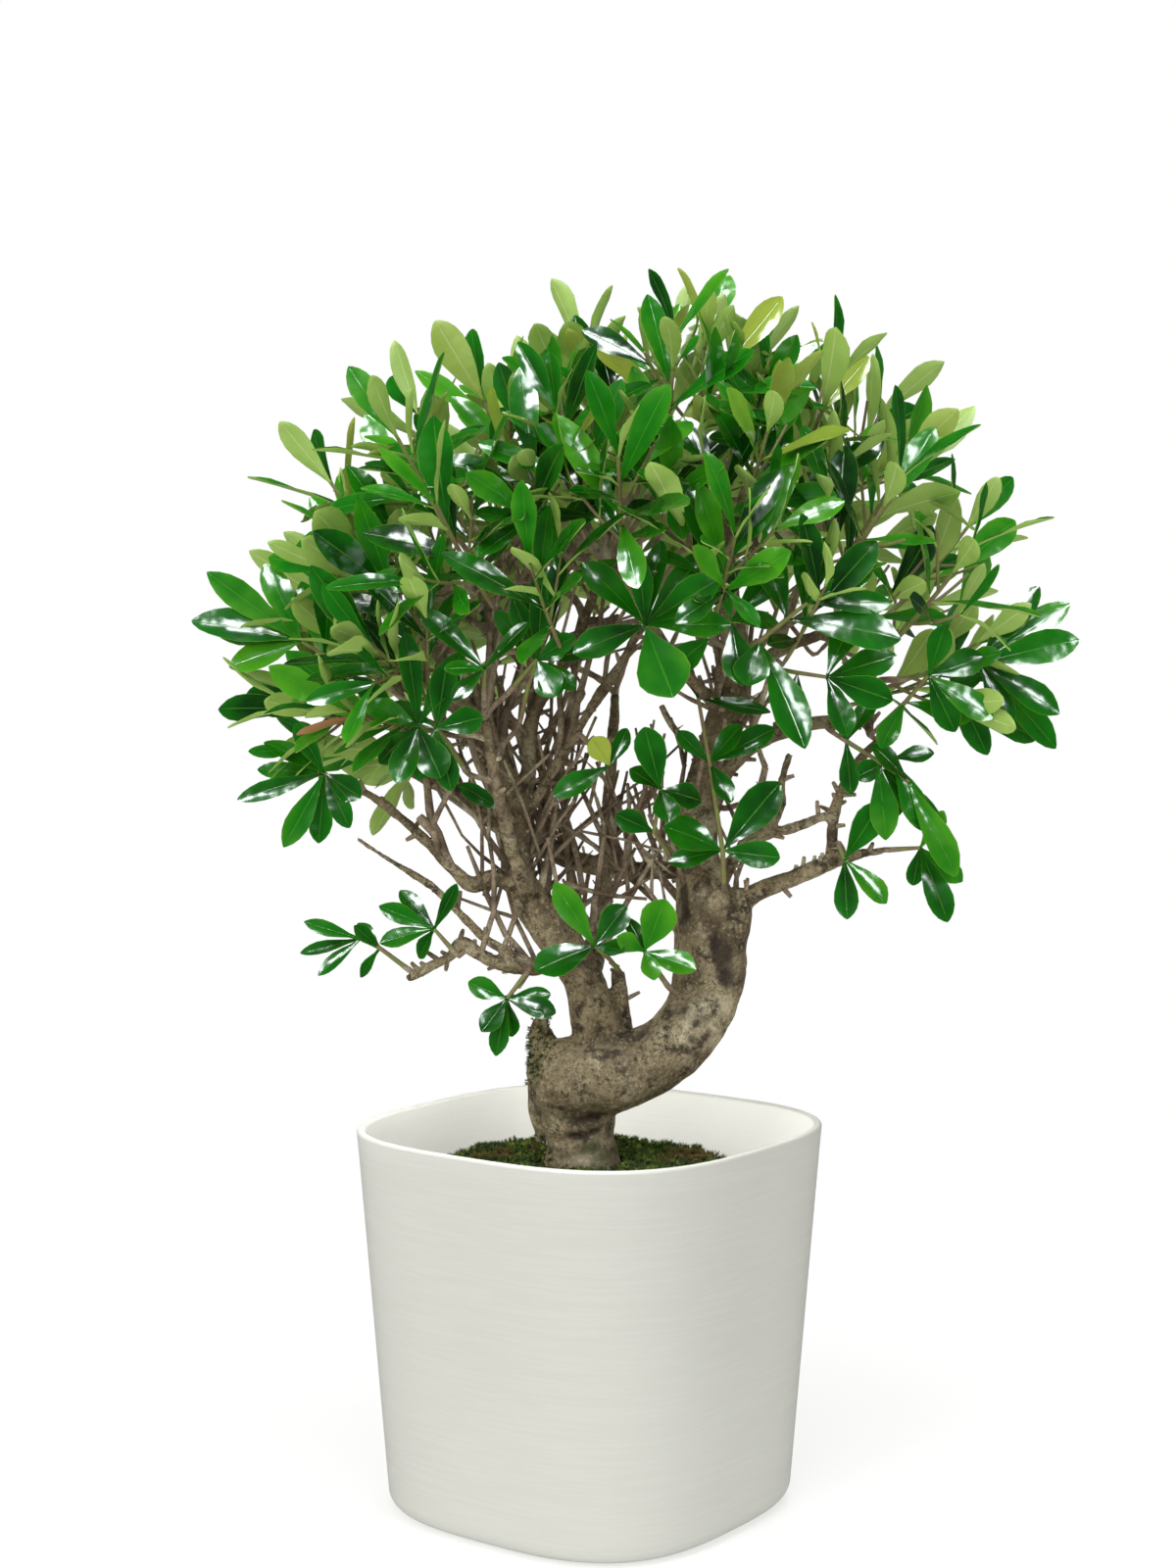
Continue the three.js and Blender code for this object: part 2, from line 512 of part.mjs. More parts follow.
// A leaf at a point of a shoot: out from it at an angle, in a direction round it. Its face turns to the
// shoot's tip, to the sky and away from the crown's middle.
function shootLeaf({ at, tangent, reference, round, angle, size, draw }) {
  const second = new THREE.Vector3().crossVectors(tangent, reference);
  const outward = reference.clone().multiplyScalar(Math.cos(round)).addScaledVector(second, Math.sin(round));
  const axis = tangent.clone().multiplyScalar(Math.cos(angle)).addScaledVector(outward, Math.sin(angle));
  axis.z -= leaf.droop;
  axis.normalize();
  const face = tangent.clone().multiplyScalar(Math.sin(angle)).addScaledVector(outward, -Math.cos(angle));
  const outside = new THREE.Vector3(at.x - crown.centre[0], at.y - crown.centre[1], 0).normalize();
  const wanted = face.multiplyScalar(leaf.towardTip).addScaledVector(up, leaf.towardSky);
  const normal = squareTo(axis, wanted.addScaledVector(outside, leaf.towardOutside));
  const length = leaf.length * size;
  const width = length * leaf.slimness * between(leaf.widthSpread, draw);
  return { base: at, axis, normal, length, width, ...leafHabit(draw) };
}

// Sprays of the crown

function crownPlaces() {
  const places = [];
  const golden = Math.PI * (3 - Math.sqrt(5));
  for (let i = 0; i < crown.rows; i++) {
    const height = crown.highest - (crown.highest - crown.lowestLeft) * (i / (crown.rows - 1));
    const round = golden * i;
    const sideways = Math.cos(round);
    const lowestSide = sideways < 0 ? crown.lowestLeft : crown.lowestRight;
    if (height < crown.lowestFront + (lowestSide - crown.lowestFront) * sideways ** 2) continue;
    const level = Math.sqrt(1 - height * height);
    const draw = seededDraw(seeds.crown + i);
    const depth = 1 - (i % 3 === 1 ? crown.inset : crown.insetSpread * draw());
    const unit = [level * Math.cos(round), level * Math.sin(round), height];
    const base = unit.map((u, k) => crown.centre[k] + u * (crown.reach[k] - crown.shell) * depth);
    const outward = new THREE.Vector3(...unit.map((u, k) => u / crown.reach[k])).normalize();
    outward.z += crown.lift * (1 - Math.abs(height));
    outward.x += crown.wander * (draw() - 0.5);
    outward.y += crown.wander * (draw() - 0.5);
    places.push({ base: point(base), heading: outward.normalize(), seed: seeds.crownSpray * (i + 1) });
  }
  return places;
}

function shootLine(base, heading, length, lift) {
  const middle = along(base, heading, length / 2);
  const end = along(along(base, heading, length), up, lift * length);
  return new THREE.QuadraticBezierCurve3(base, middle, end);
}

// The nodes of a shoot: where each pair of leaves grows, how far out and how large they are.
const mainNodes = [
  { share: 0.5, angle: 0.8, size: 0.98 },
  { share: 0.78, angle: 0.62, size: 1 },
  { share: 1, angle: 0.38, size: 0.88 },
];
const sideNodes = [{ share: 1, angle: 0.5, size: 0.88 }];

// The width of a random range on an attempt: what it is at first, and what each new attempt adds.
const spreadOn = (attempt, [first, more]) => first + more * attempt;

function shootLeaves(line, nodes, seed) {
  const firstRound = seededDraw(seed)() * Math.PI;
  return nodes.flatMap(({ share, angle, size }, k) => {
    const tangent = line.getTangent(share);
    const at = line.getPoint(share);
    const reference = squareTo(tangent, up);
    return [0, 1].map((other) => (attempt) => {
      const draw = seededDraw(seed + seeds.node * k + seeds.other * other + 1 + seeds.attempt * attempt);
      const evenRound = firstRound + (k * Math.PI) / 2 + other * Math.PI;
      const round = evenRound + (draw() - 0.5) * spreadOn(attempt, retry.round);
      const out = angle + (draw() - 0.5) * spreadOn(attempt, retry.out);
      const drawnSize = size * (1 + leaf.sizeSpread * (draw() - 0.5)) * (1 - retry.shrink * attempt);
      return shootLeaf({ at, tangent, reference, round, angle: out, size: drawnSize, draw });
    });
  });
}

function crownSpray({ base, heading, seed }, number) {
  const draw = seededDraw(seed);
  const length = shoot.length * between(shoot.lengthSpread, draw);
  const main = shootLine(base, heading, length, shoot.lift);
  const reference = squareTo(heading, up);
  const second = new THREE.Vector3().crossVectors(heading, reference);
  const round = draw() * Math.PI * 2;
  const sideLine = (mainLine, attempt) => {
    const fork = mainLine.getPoint(shoot.forkShare);
    const turnedRound = round + attempt * shoot.turnStep;
    const sideHeading = heading.clone().multiplyScalar(Math.cos(shoot.sideAngle));
    sideHeading.addScaledVector(reference, Math.sin(shoot.sideAngle) * Math.cos(turnedRound));
    sideHeading.addScaledVector(second, Math.sin(shoot.sideAngle) * Math.sin(turnedRound));
    return shootLine(fork, sideHeading, shoot.sideLength, shoot.lift);
  };
  return { name: `spray_crown_${String(number + 1).padStart(2, "0")}`, base, heading, seed, main, sideLine };
}

// The skeleton that branches grow from

const skeleton = [];
const wood = [];

function addLimb({ sides, line }) {
  const curve = new THREE.CatmullRomCurve3(line.map(point), false, "catmullrom", 0.5);
  wood.push(solidOf(tube(line.map(point), line.map(([, , , radius]) => radius), sides)));
  const halves = 2 * (line.length - 1);
  for (let i = 0; i <= halves; i++) {
    const radius = (line[Math.floor(i / 2)][3] + line[Math.ceil(i / 2)][3]) / 2;
    skeleton.push({ at: curve.getPoint(i / halves), heading: curve.getTangent(i / halves), radius });
  }
}

// What a branch from this knot of the skeleton would cost: its length, and how sharply it would bend.
function branchCost(knot, target) {
  const away = target.base.clone().sub(knot.at);
  const distance = away.length();
  if (distance < branch.shortest || knot.radius < branch.tipRadius) return Infinity;
  if (knot.at.z < branch.lowest) return Infinity;
  const leaving = 1 - away.dot(knot.heading) / distance;
  const arriving = 1 - away.dot(target.heading) / distance;
  return distance * (1 + branch.leavingCost * leaving + branch.arrivingCost * arriving);
}

function growBranch(knot, target) {
  const draw = seededDraw(target.seed);
  const distance = knot.at.distanceTo(target.base);
  const reach = distance / 3;
  const outward = direction(knot.at, target.base);
  const leaving = knot.heading.clone().multiplyScalar(branch.follow);
  leaving.addScaledVector(outward, 1 - branch.follow).normalize();
  const end = along(target.base, target.heading, -gap);
  const hold = along(target.base, target.heading, -Math.min(branch.hold, distance / 3));
  const curve = new THREE.CubicBezierCurve3(
    knot.at, along(knot.at, leaving, reach), along(hold, target.heading, -reach), hold);
  const steps = Math.max(1, Math.round(distance / branch.step));
  const thickest = Math.min(knot.radius * branch.thickest, branch.tipRadius + distance * branch.thickening);
  const centres = [];
  const radii = [];
  for (let i = 0; i <= steps; i++) {
    const centre = curve.getPoint(i / steps);
    const wobble = i > 0 && i < steps ? distance * branch.wobble : 0;
    centre.x += wobble * (draw() - 0.5);
    centre.y += wobble * (draw() - 0.5);
    centre.z += wobble * (draw() - 0.5);
    centres.push(centre);
    radii.push(thickest + (branch.tipRadius - thickest) * (i / steps));
  }
  centres.forEach((at, i) => {
    if (i > 0 && i < steps) skeleton.push({ at, heading: direction(centres[i - 1], at), radius: radii[i] });
  });
  wood.push(solidOf(tube([...centres, end], [...radii, branch.tipRadius], branch.sides)));
}

// Each spray in turn joins the tree where its branch costs least, the cheapest of all first.
function growBranches(targets) {
  const waiting = targets.map((target) => ({ target, cost: Infinity, knot: null, seen: 0 }));
  while (waiting.length) {
    for (const entry of waiting) {
      for (; entry.seen < skeleton.length; entry.seen++) {
        const cost = branchCost(skeleton[entry.seen], entry.target);
        if (cost < entry.cost) Object.assign(entry, { cost, knot: skeleton[entry.seen] });
      }
    }
    waiting.sort((a, b) => b.cost - a.cost);
    const { target, knot } = waiting.pop();
    growBranch(knot, target);
  }
}

// Twigs and leaves, each kept clear of everything that another node holds

const placed = [];

function boxOf(solid) {
  const { min, max } = solid.boundingBox();
  return new THREE.Box3(point([...min]), point([...max]));
}

const remember = (owner, solid) => placed.push({ owner, solid, box: boxOf(solid) });

function isClear(owner, solid) {
  const box = boxOf(solid);
  if (overlaps(solid, treeSolid)) return false;
  return !placed.some((other) =>
    other.owner !== owner && other.box.intersectsBox(box) && overlaps(solid, other.solid));
}

// A faceted twig, with two close rings at each share where something grows.
function makeTwig(line, shares) {
  const half = leaf.nodeHalf / line.getLength();
  const rings = [0, ...shares.flatMap((share) => [share - half, share + half]), 1];
  const centres = rings.map((share) => line.getPoint(share));
  const radii = rings.map((share) => shoot.baseRadius + (shoot.tipRadius - shoot.baseRadius) * share);
  return twigOf(shapeOf(tube(centres, radii, shoot.sides)));
}

// The same through a placed stem's points, with three close rings at its end for a tuft of leaves.
function makeStem(stem) {
  const last = stem.length - 1;
  const centres = [];
  stem.forEach((place, k) => {
    const heading = direction(stem[Math.max(k - 1, 0)], stem[Math.min(k + 1, last)]);
    const steps = k === 0 ? [0] : k < last ? [-1, 1] : [-2, -1, 0];
    centres.push(...steps.map((step) => along(place, heading, step * leaf.nodeHalf)));
  });
  const radii = centres.map((_, k) =>
    shoot.baseRadius + ((shoot.tipRadius - shoot.baseRadius) * k) / (centres.length - 1));
  return twigOf(shapeOf(tube(centres, radii, shoot.sides)));
}

// The first attempt that has room, or null. Each attempt gives what it makes and its closed solid.
function firstClear(owner, tries, makeAttempt) {
  for (let attempt = 0; attempt < tries; attempt++) {
    const made = makeAttempt(attempt);
    if (!made || !isClear(owner, made.solid)) continue;
    remember(owner, made.solid);
    return made;
  }
  return null;
}

// How far an attempt moves a twig's free points aside: nothing the first time, then more and more.
function sway(seed, attempt) {
  const draw = seededDraw(seed + seeds.sway * attempt);
  return new THREE.Vector3(draw() - 0.5, draw() - 0.5, draw() - 0.5).multiplyScalar(shoot.sway * attempt);
}

// Something new keeps clear of its own twig and of the leaves that are on it already.
function clearOutgrowth(twig, base, axis, corners) {
  const made = outgrowth(twig, base, axis, corners);
  return made && !overlaps(made.solid, solidOfTwig(twig)) ? made : null;
}

// Each leaf in turn takes the first of its attempts that has room, or is left out.
function growLeaves(owner, twig, makers) {
  for (const maker of makers) {
    const made = firstClear(owner, leaf.tries, (attempt) => {
      const description = maker(attempt);
      return clearOutgrowth(twig, description.base, description.axis, bladeRings(description));
    });
    if (made) grow(twig, made, twig.blades);
  }
}

// A placed leaf points at its tip; each new attempt turns it a little more.
function placedLeaf(stem, [dx, dy, dz, width, back = 0], seed, attempt) {
  const draw = seededDraw(seed + seeds.attempt * attempt);
  const reach = new THREE.Vector3(dx, dy, dz);
  const length = reach.length() * (1 - retry.shrink * attempt);
  const aside = new THREE.Vector3(...retry.aside.map((most) => (draw() - 0.5) * most * attempt));
  const axis = reach.normalize().add(aside).normalize();
  const lean = new THREE.Vector3(draw() - 0.5, 0, draw() - 0.5);
  const normal = squareTo(axis, lean.add(towardViewer));
  return { base: stem[stem.length - 1 - back], axis, normal, length, width, ...leafHabit(draw) };
}

// The planter and the soil

const halfAt = (height) =>
  planter.footHalf + ((planter.rimHalf - planter.footHalf) * height) / planter.height;
const innerHalfAt = (height) => halfAt(height) - planter.wall;

function planterSolid() {
  const { height, rimHalf, footHalf, footRadius: round, lipRadius: lip, wall, floor } = planter;
  const innerRound = round - wall;
  const slant = Math.SQRT1_2;
  return solidOf(squareTurned([
    [0, 0],
    [footHalf - round, 0],
    [footHalf - round * (1 - slant), round * (1 - slant)],
    [halfAt(round), round],
    [rimHalf, height - lip],
    [rimHalf - lip, height],
    [rimHalf - wall + lip, height],
    [innerHalfAt(height), height - lip],
    [innerHalfAt(floor + innerRound), floor + innerRound],
    [innerHalfAt(floor) - innerRound, floor],
    [0, floor],
  ]));
}

function roundHole(x, radius, low, high, sides) {
  const drum = new THREE.CylinderGeometry(radius, radius, high - low, sides).rotateX(Math.PI / 2);
  return solidOf(drum.translate(x, 0, (low + high) / 2));
}

function pottingMixSolid() {
  const low = planter.floor + gap;
  const innerRound = planter.footRadius - planter.wall;
  const filling = solidOf(squareTurned([
    [0, low],
    [innerHalfAt(low) - innerRound - gap, low],
    [innerHalfAt(low + innerRound) - gap, low + innerRound],
    [innerHalfAt(soil.mixTop) - gap, soil.mixTop],
    [0, soil.mixTop],
  ]));
  const { ballX, ballRadius, ballFoot, ballSegments } = soil;
  const hole = roundHole(ballX, ballRadius + 2 * gap, ballFoot - gap, planter.height, ballSegments);
  return filling.subtract(hole);
}

const trunkHole = roundHole(soil.holeX, soil.holeRadius, soil.holeFloor, planter.height, soil.holeSegments);

function rootBallSolid() {
  const { ballRadius, ballTaper, ballFoot, ballTop, ballX, ballSegments } = soil;
  const ball = turned([
    [0, ballFoot],
    [ballRadius - ballTaper, ballFoot],
    [ballRadius, ballTop],
    [0, ballTop],
  ], ballSegments).translate(ballX, 0, 0);
  return solidOf(ball).subtract(trunkHole);
}

// The moss cushion swells and dips by a few slow waves, and its rim wanders in and out.
function mossSolid() {
  const { ballRadius, ballTop, ballX, ballSegments, mossThickness, mossOverhang, mossSwell } = soil;
  const foot = ballTop + gap;
  const rim = ballRadius + mossOverhang;
  const geometry = turned([
    [0, foot],
    [rim - 3, foot],
    [rim, foot + 0.4 * mossThickness],
    [rim - 4, foot + 0.85 * mossThickness],
    [0.8 * rim, foot + mossThickness],
    [0.6 * rim, foot + 1.05 * mossThickness],
    [0.42 * rim, foot + 1.15 * mossThickness],
    [0, foot + 1.2 * mossThickness],
  ], ballSegments);
  const place = geometry.attributes.position;
  for (let i = 0; i < place.count; i++) {
    const x = place.getX(i);
    const y = place.getY(i);
    const z = place.getZ(i);
    const round = Math.atan2(y, x);
    const lump = Math.sin(0.21 * x + 1.3) * Math.cos(0.17 * y - 0.4) + 0.6 * Math.sin(0.33 * y + 0.12 * x);
    const wander = 1 + 0.016 * Math.sin(5 * round + 0.8) + 0.012 * Math.sin(11 * round);
    place.setXYZ(i, x * wander, y * wander, z > foot + 1 ? z + mossSwell * lump : z);
  }
  return solidOf(geometry.translate(ballX, 0, 0)).subtract(trunkHole);
}

// Growing the tree

const stems = placedSprays.map(({ stem }) => stem.map(point));
const crownSprays = crownPlaces().map(crownSpray);
limbs.forEach(addLimb);
growBranches([
  ...stems.map(([base, next], i) => ({ base, heading: direction(base, next), seed: seeds.stem + i })),
  ...crownSprays,
]);
const treeSolid = wood.reduce((joined, solid) => joined.add(solid));

// Stems and shoots come first, so that every leaf keeps clear of them.

const sprays = [];

placedSprays.forEach(({ name, leaves }, i) => {
  const { twig, stem } = firstClear(name, shoot.tries, (attempt) => {
    const moved = sway(i, attempt);
    const swayed = stems[i].map((place, k) => (k > 0 ? place.clone().add(moved) : place));
    const made = makeStem(swayed);
    return { twig: made, stem: swayed, solid: solidOfTwig(made) };
  });
  const firstSeed = seeds.placedLeaf + seeds.placedSpray * i;
  const makers = leaves.map((row, k) => (attempt) => placedLeaf(stem, row, firstSeed + k, attempt));
  sprays.push({ name, twig, makers });
});

crownSprays.forEach(({ name, seed, main, sideLine }) => {
  const { twig, line } = firstClear(name, shoot.tries, (attempt) => {
    const end = main.v2.clone().add(sway(seed, attempt));
    const swayed = new THREE.QuadraticBezierCurve3(main.v0, main.v1, end);
    const made = makeTwig(swayed, [shoot.forkShare, ...mainNodes.slice(0, -1).map(({ share }) => share)]);
    return { twig: made, line: swayed, solid: solidOfTwig(made) };
  });
  const makers = shootLeaves(line, mainNodes, seed + seeds.mainLeaf);
  const side = firstClear(name, shoot.tries, (attempt) => {
    const aside = sideLine(line, attempt);
    const made = clearOutgrowth(twig, aside.getPoint(0), aside.getTangent(0), shootRings(aside));
    return made && { ...made, line: aside };
  });
  if (side) {
    grow(twig, side, twig.bark);
    makers.push(...shootLeaves(side.line, sideNodes, seed + seeds.sideLeaf));
  }
  sprays.push({ name, twig, makers });
});

for (const { name, twig, makers } of sprays) growLeaves(name, twig, makers);

// Materials and the finished group

const finish = (color, roughness) => new THREE.MeshStandardMaterial({ color, roughness, metalness: 0 });

const model = new THREE.Group();
model.add(meshOf("planter", planterSolid(), finish(0xdddfd7, 0.6)));
model.add(meshOf("potting_mix", pottingMixSolid(), finish(0x3b2f26, 0.95)));
model.add(meshOf("root_ball", rootBallSolid(), finish(0x46382b, 0.95)));
model.add(meshOf("moss", mossSolid(), finish(0x3f4f1e, 0.95)));
model.add(meshOf("tree", treeSolid, finish(0x86735c, 0.85)));
const leafFinish = finish(0x2c7a1c, 0.35);
for (const { name, twig } of sprays) model.add(meshOf(name, solidOfTwig(twig), leafFinish));

export default model;
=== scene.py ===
# An olive bonsai in a white planter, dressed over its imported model. The tables of the tree are in
# millimetres, as they are in the model's own source, and every mesh is made in metres.
import math
import bpy
import numpy as np
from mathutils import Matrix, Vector, noise
from mathutils.bvhtree import BVHTree


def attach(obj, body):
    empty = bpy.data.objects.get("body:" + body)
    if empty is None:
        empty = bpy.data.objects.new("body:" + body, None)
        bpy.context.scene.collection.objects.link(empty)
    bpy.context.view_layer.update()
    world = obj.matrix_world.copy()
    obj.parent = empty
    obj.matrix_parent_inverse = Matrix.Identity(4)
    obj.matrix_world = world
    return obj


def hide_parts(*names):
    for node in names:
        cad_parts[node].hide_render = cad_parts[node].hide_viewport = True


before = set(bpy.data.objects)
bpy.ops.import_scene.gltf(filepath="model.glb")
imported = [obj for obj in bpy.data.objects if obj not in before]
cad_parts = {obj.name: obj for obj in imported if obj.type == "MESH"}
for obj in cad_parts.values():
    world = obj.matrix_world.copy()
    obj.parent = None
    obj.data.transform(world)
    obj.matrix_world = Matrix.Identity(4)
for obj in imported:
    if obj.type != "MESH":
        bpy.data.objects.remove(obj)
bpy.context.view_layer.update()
mm = 0.001
up = Vector((0, 0, 1))


# Node trees written as expressions

class Wire:
    # one output socket; sums and products of wires add their Math nodes
    def __init__(self, board, socket):
        self.board = board
        self.socket = socket

    def worked(self, operation, *others):
        return self.board.add("ShaderNodeMath", {"operation": operation}, dict(enumerate((self,) + others)))

    def __add__(self, other):
        return self.worked("ADD", other)

    __radd__ = __add__

    def __mul__(self, other):
        return self.worked("MULTIPLY", other)

    __rmul__ = __mul__

    def __sub__(self, other):
        return self.worked("SUBTRACT", other)

    def __rsub__(self, other):
        return self.board.add("ShaderNodeMath", {"operation": "SUBTRACT"}, {0: other, 1: self})

    def __pow__(self, other):
        return self.worked("POWER", other)

    def above(self, low, high):  # 0 below low, 1 above high, smooth between
        return self.board.add("ShaderNodeMapRange", {"interpolation_type": "SMOOTHSTEP"},
                              {"Value": self, 1: low, 2: high})

    def vector(self, operation, *others, out=0):
        sockets = dict(enumerate((self,) + others))
        return self.board.add("ShaderNodeVectorMath", {"operation": operation}, sockets, out)

    def times(self, factor):
        return self.board.add("ShaderNodeVectorMath", {"operation": "SCALE"}, {0: self, 3: factor})

    def plus(self, other):
        return self.vector("ADD", other)


class Board:
    def __init__(self, tree):
        self.tree = tree

    def add(self, kind, settings=None, sockets=None, out=0):
        node = self.tree.nodes.new(kind)
        for name, value in (settings or {}).items():
            setattr(node, name, value)
        for name, value in (sockets or {}).items():
            if isinstance(value, Wire):
                self.tree.links.new(value.socket, node.inputs[name])
            else:
                node.inputs[name].default_value = value
        return Wire(self, node.outputs[out])

    def blended(self, factor, first, second):
        return self.add("ShaderNodeMix", {"data_type": "RGBA"}, {0: factor, 6: first, 7: second}, out=2)

    def layered(self, tone, *layers):  # each layer is a mask and the colour that it lays on
        for mask, colour in layers:
            tone = self.blended(mask, tone, colour)
        return tone

    def height(self, place):  # the third part of a vector
        return self.add("ShaderNodeSeparateXYZ", {}, {0: place}, out="Z")

    def rods(self, lines, sides, thickness):  # a round rod along each line
        curves = self.add("GeometryNodeMeshToCurve", {}, {"Mesh": lines})
        ring = self.add("GeometryNodeCurvePrimitiveCircle", {"mode": "RADIUS"}, {
            "Resolution": sides, "Radius": 1.0})
        return self.add("GeometryNodeCurveToMesh", {}, {
            "Curve": curves, "Profile Curve": ring, "Scale": thickness, "Fill Caps": True})

    def named(self, name, kind="FLOAT"):
        return self.add("GeometryNodeInputNamedAttribute", {"data_type": kind}, {"Name": name})

    def drawn(self, smallest, largest, seed, out=1):
        sockets = {2: smallest, 3: largest, "Seed": seed}
        return self.add("FunctionNodeRandomValue", {"data_type": "FLOAT"}, sockets, out)

    def closed(self, geometry, finish):
        solid = self.add("GeometryNodeRealizeInstances", {}, {"Geometry": geometry})
        return self.add("GeometryNodeSetMaterial", {}, {"Geometry": solid, "Material": finish})

    def ended(self, geometry):
        exitNode = self.tree.nodes.new("NodeGroupOutput")
        self.tree.links.new(geometry.socket, exitNode.inputs[0])
        return self.tree


def paint(red, green, blue):  # a colour given as it looks on a screen, 0 to 255
    linear = [value / 255 / 12.92 if value <= 10 else ((value / 255 + 0.055) / 1.055) ** 2.4
              for value in (red, green, blue)]
    return (*linear, 1)


class Finish(Board):
    # a material with its Principled shader
    def __init__(self, name, roughness, **fixed):
        self.material = bpy.data.materials.new(name)
        self.material.use_nodes = True
        super().__init__(self.material.node_tree)
        self.shader = self.tree.nodes["Principled BSDF"]
        self.shader.inputs["Roughness"].default_value = roughness
        for socket, value in fixed.items():
            self.shader.inputs[socket.replace("_", " ")].default_value = value
        self.place = self.add("ShaderNodeTexCoord", out="Object")

    def grain(self, size, detail=3, roughness=0.55, stretch=None, distortion=0.0, shift=0.0):
        place = self.place
        if stretch or shift:
            place = self.add("ShaderNodeMapping", {}, {
                "Vector": place, "Location": (shift, shift, shift), "Scale": stretch or (1, 1, 1)})
        return self.add("ShaderNodeTexNoise", {}, {
            "Vector": place, "Scale": 1 / size, "Detail": detail, "Roughness": roughness,
            "Distortion": distortion})

    def mark(self, name):
        return self.add("ShaderNodeAttribute", {"attribute_name": name}, out="Fac")

    def feed(self, socket, wire):
        self.tree.links.new(wire.socket, self.shader.inputs[socket])

    def emboss(self, height, distance, strength):
        sockets = {"Height": height, "Distance": distance, "Strength": strength}
        self.feed("Normal", self.add("ShaderNodeBump", {}, sockets))


def geometryBoard(name, inputs):
    tree = bpy.data.node_groups.new(name, "GeometryNodeTree")
    tree.interface.new_socket("Geometry", in_out="INPUT", socket_type="NodeSocketGeometry")
    for label, kind in inputs.items():
        tree.interface.new_socket(label, in_out="INPUT", socket_type="NodeSocket" + kind)
    tree.interface.new_socket("Geometry", in_out="OUTPUT", socket_type="NodeSocketGeometry")
    board = Board(tree)
    entry = tree.nodes.new("NodeGroupInput")
    wires = {socket.name: Wire(board, socket) for socket in entry.outputs if socket.name}
    return board, wires


def grown(piece, tree, values):
    # runs a geometry tree on the piece and leaves its result as a plain mesh
    modifier = piece.modifiers.new(tree.name, "NODES")
    modifier.node_group = tree
    for item in tree.interface.items_tree:
        if item.in_out == "INPUT" and item.name in values:
            modifier[item.identifier] = values[item.name]
    return settled(piece)


def settled(piece):
    # the piece as its modifiers leave it, as a plain mesh
    graph = bpy.context.evaluated_depsgraph_get()
    mesh = bpy.data.meshes.new_from_object(
        piece.evaluated_get(graph), preserve_all_data_layers=True, depsgraph=graph)
    piece.modifiers.clear()
    former = piece.data
    piece.data = mesh
    bpy.data.meshes.remove(former)
    return piece


def pieceOf(name, places, faces, material=None, edges=()):
    mesh = bpy.data.meshes.new(name)
    mesh.from_pydata([tuple(place) for place in places], list(edges), faces)
    mesh.polygons.foreach_set("use_smooth", [True] * len(mesh.polygons))
    piece = bpy.data.objects.new(name, mesh)
    bpy.context.scene.collection.objects.link(piece)
    if material:
        mesh.materials.append(material)
    return piece


def addMarks(mesh, kind, domain, **values):
    for name, column in values.items():
        layer = mesh.attributes.new(name, kind, domain)
        layer.data.foreach_set("vector" if kind == "FLOAT_VECTOR" else "value", np.ravel(column))


def hand(piece, slotName, *nodes):
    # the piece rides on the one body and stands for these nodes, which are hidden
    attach(piece, "root")
    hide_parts(*nodes)


# Repeatable draws, the same as the model's

def seededDraw(seed):
    state = (seed + 1) * 0x9E3779B1 & 0xFFFFFFFF

    def draw():
        nonlocal state
        state = (state + 0x6D2B79F5) & 0xFFFFFFFF
        mixed = (state ^ state >> 15) * (state | 1) & 0xFFFFFFFF
        mixed ^= mixed + ((mixed ^ mixed >> 7) * (mixed | 61) & 0xFFFFFFFF) & 0xFFFFFFFF
        return (mixed ^ mixed >> 14) / 4294967296
    return draw


# the draws of each thing start from their own number
seeds = {"branches": 500, "frontBranches": 800, "placedLeaves": 900, "frontLeaves": 2900, "knuckles": 3000,
         "spurs": 5000, "crown": 7000, "tones": 9000, "fills": 17000, "fillPlaces": 30000, "attempt": 40000,
         "bareBranches": 50000, "bareTwigs": 60000, "risers": 70000, "stubs": 80000, "lowTwigs": 90000}


def anyWay(draw, centre=(0.5, 0.5, 0.5)):
    # a vector with one draw in each direction, each less its centre
    return Vector([draw() - middle for middle in centre])


def level(angle):
    # a level vector of length 1
    return Vector((math.cos(angle), math.sin(angle), 0))


def squareTo(axis, wanted):
    # the part of the wanted direction that is square to the axis
    flat = wanted - axis * wanted.dot(axis)
    if flat.length < 1e-3:
        flat = Vector((1, 0, 0)) - axis * axis.x
    return flat.normalized()


# The stage: camera, floor, light

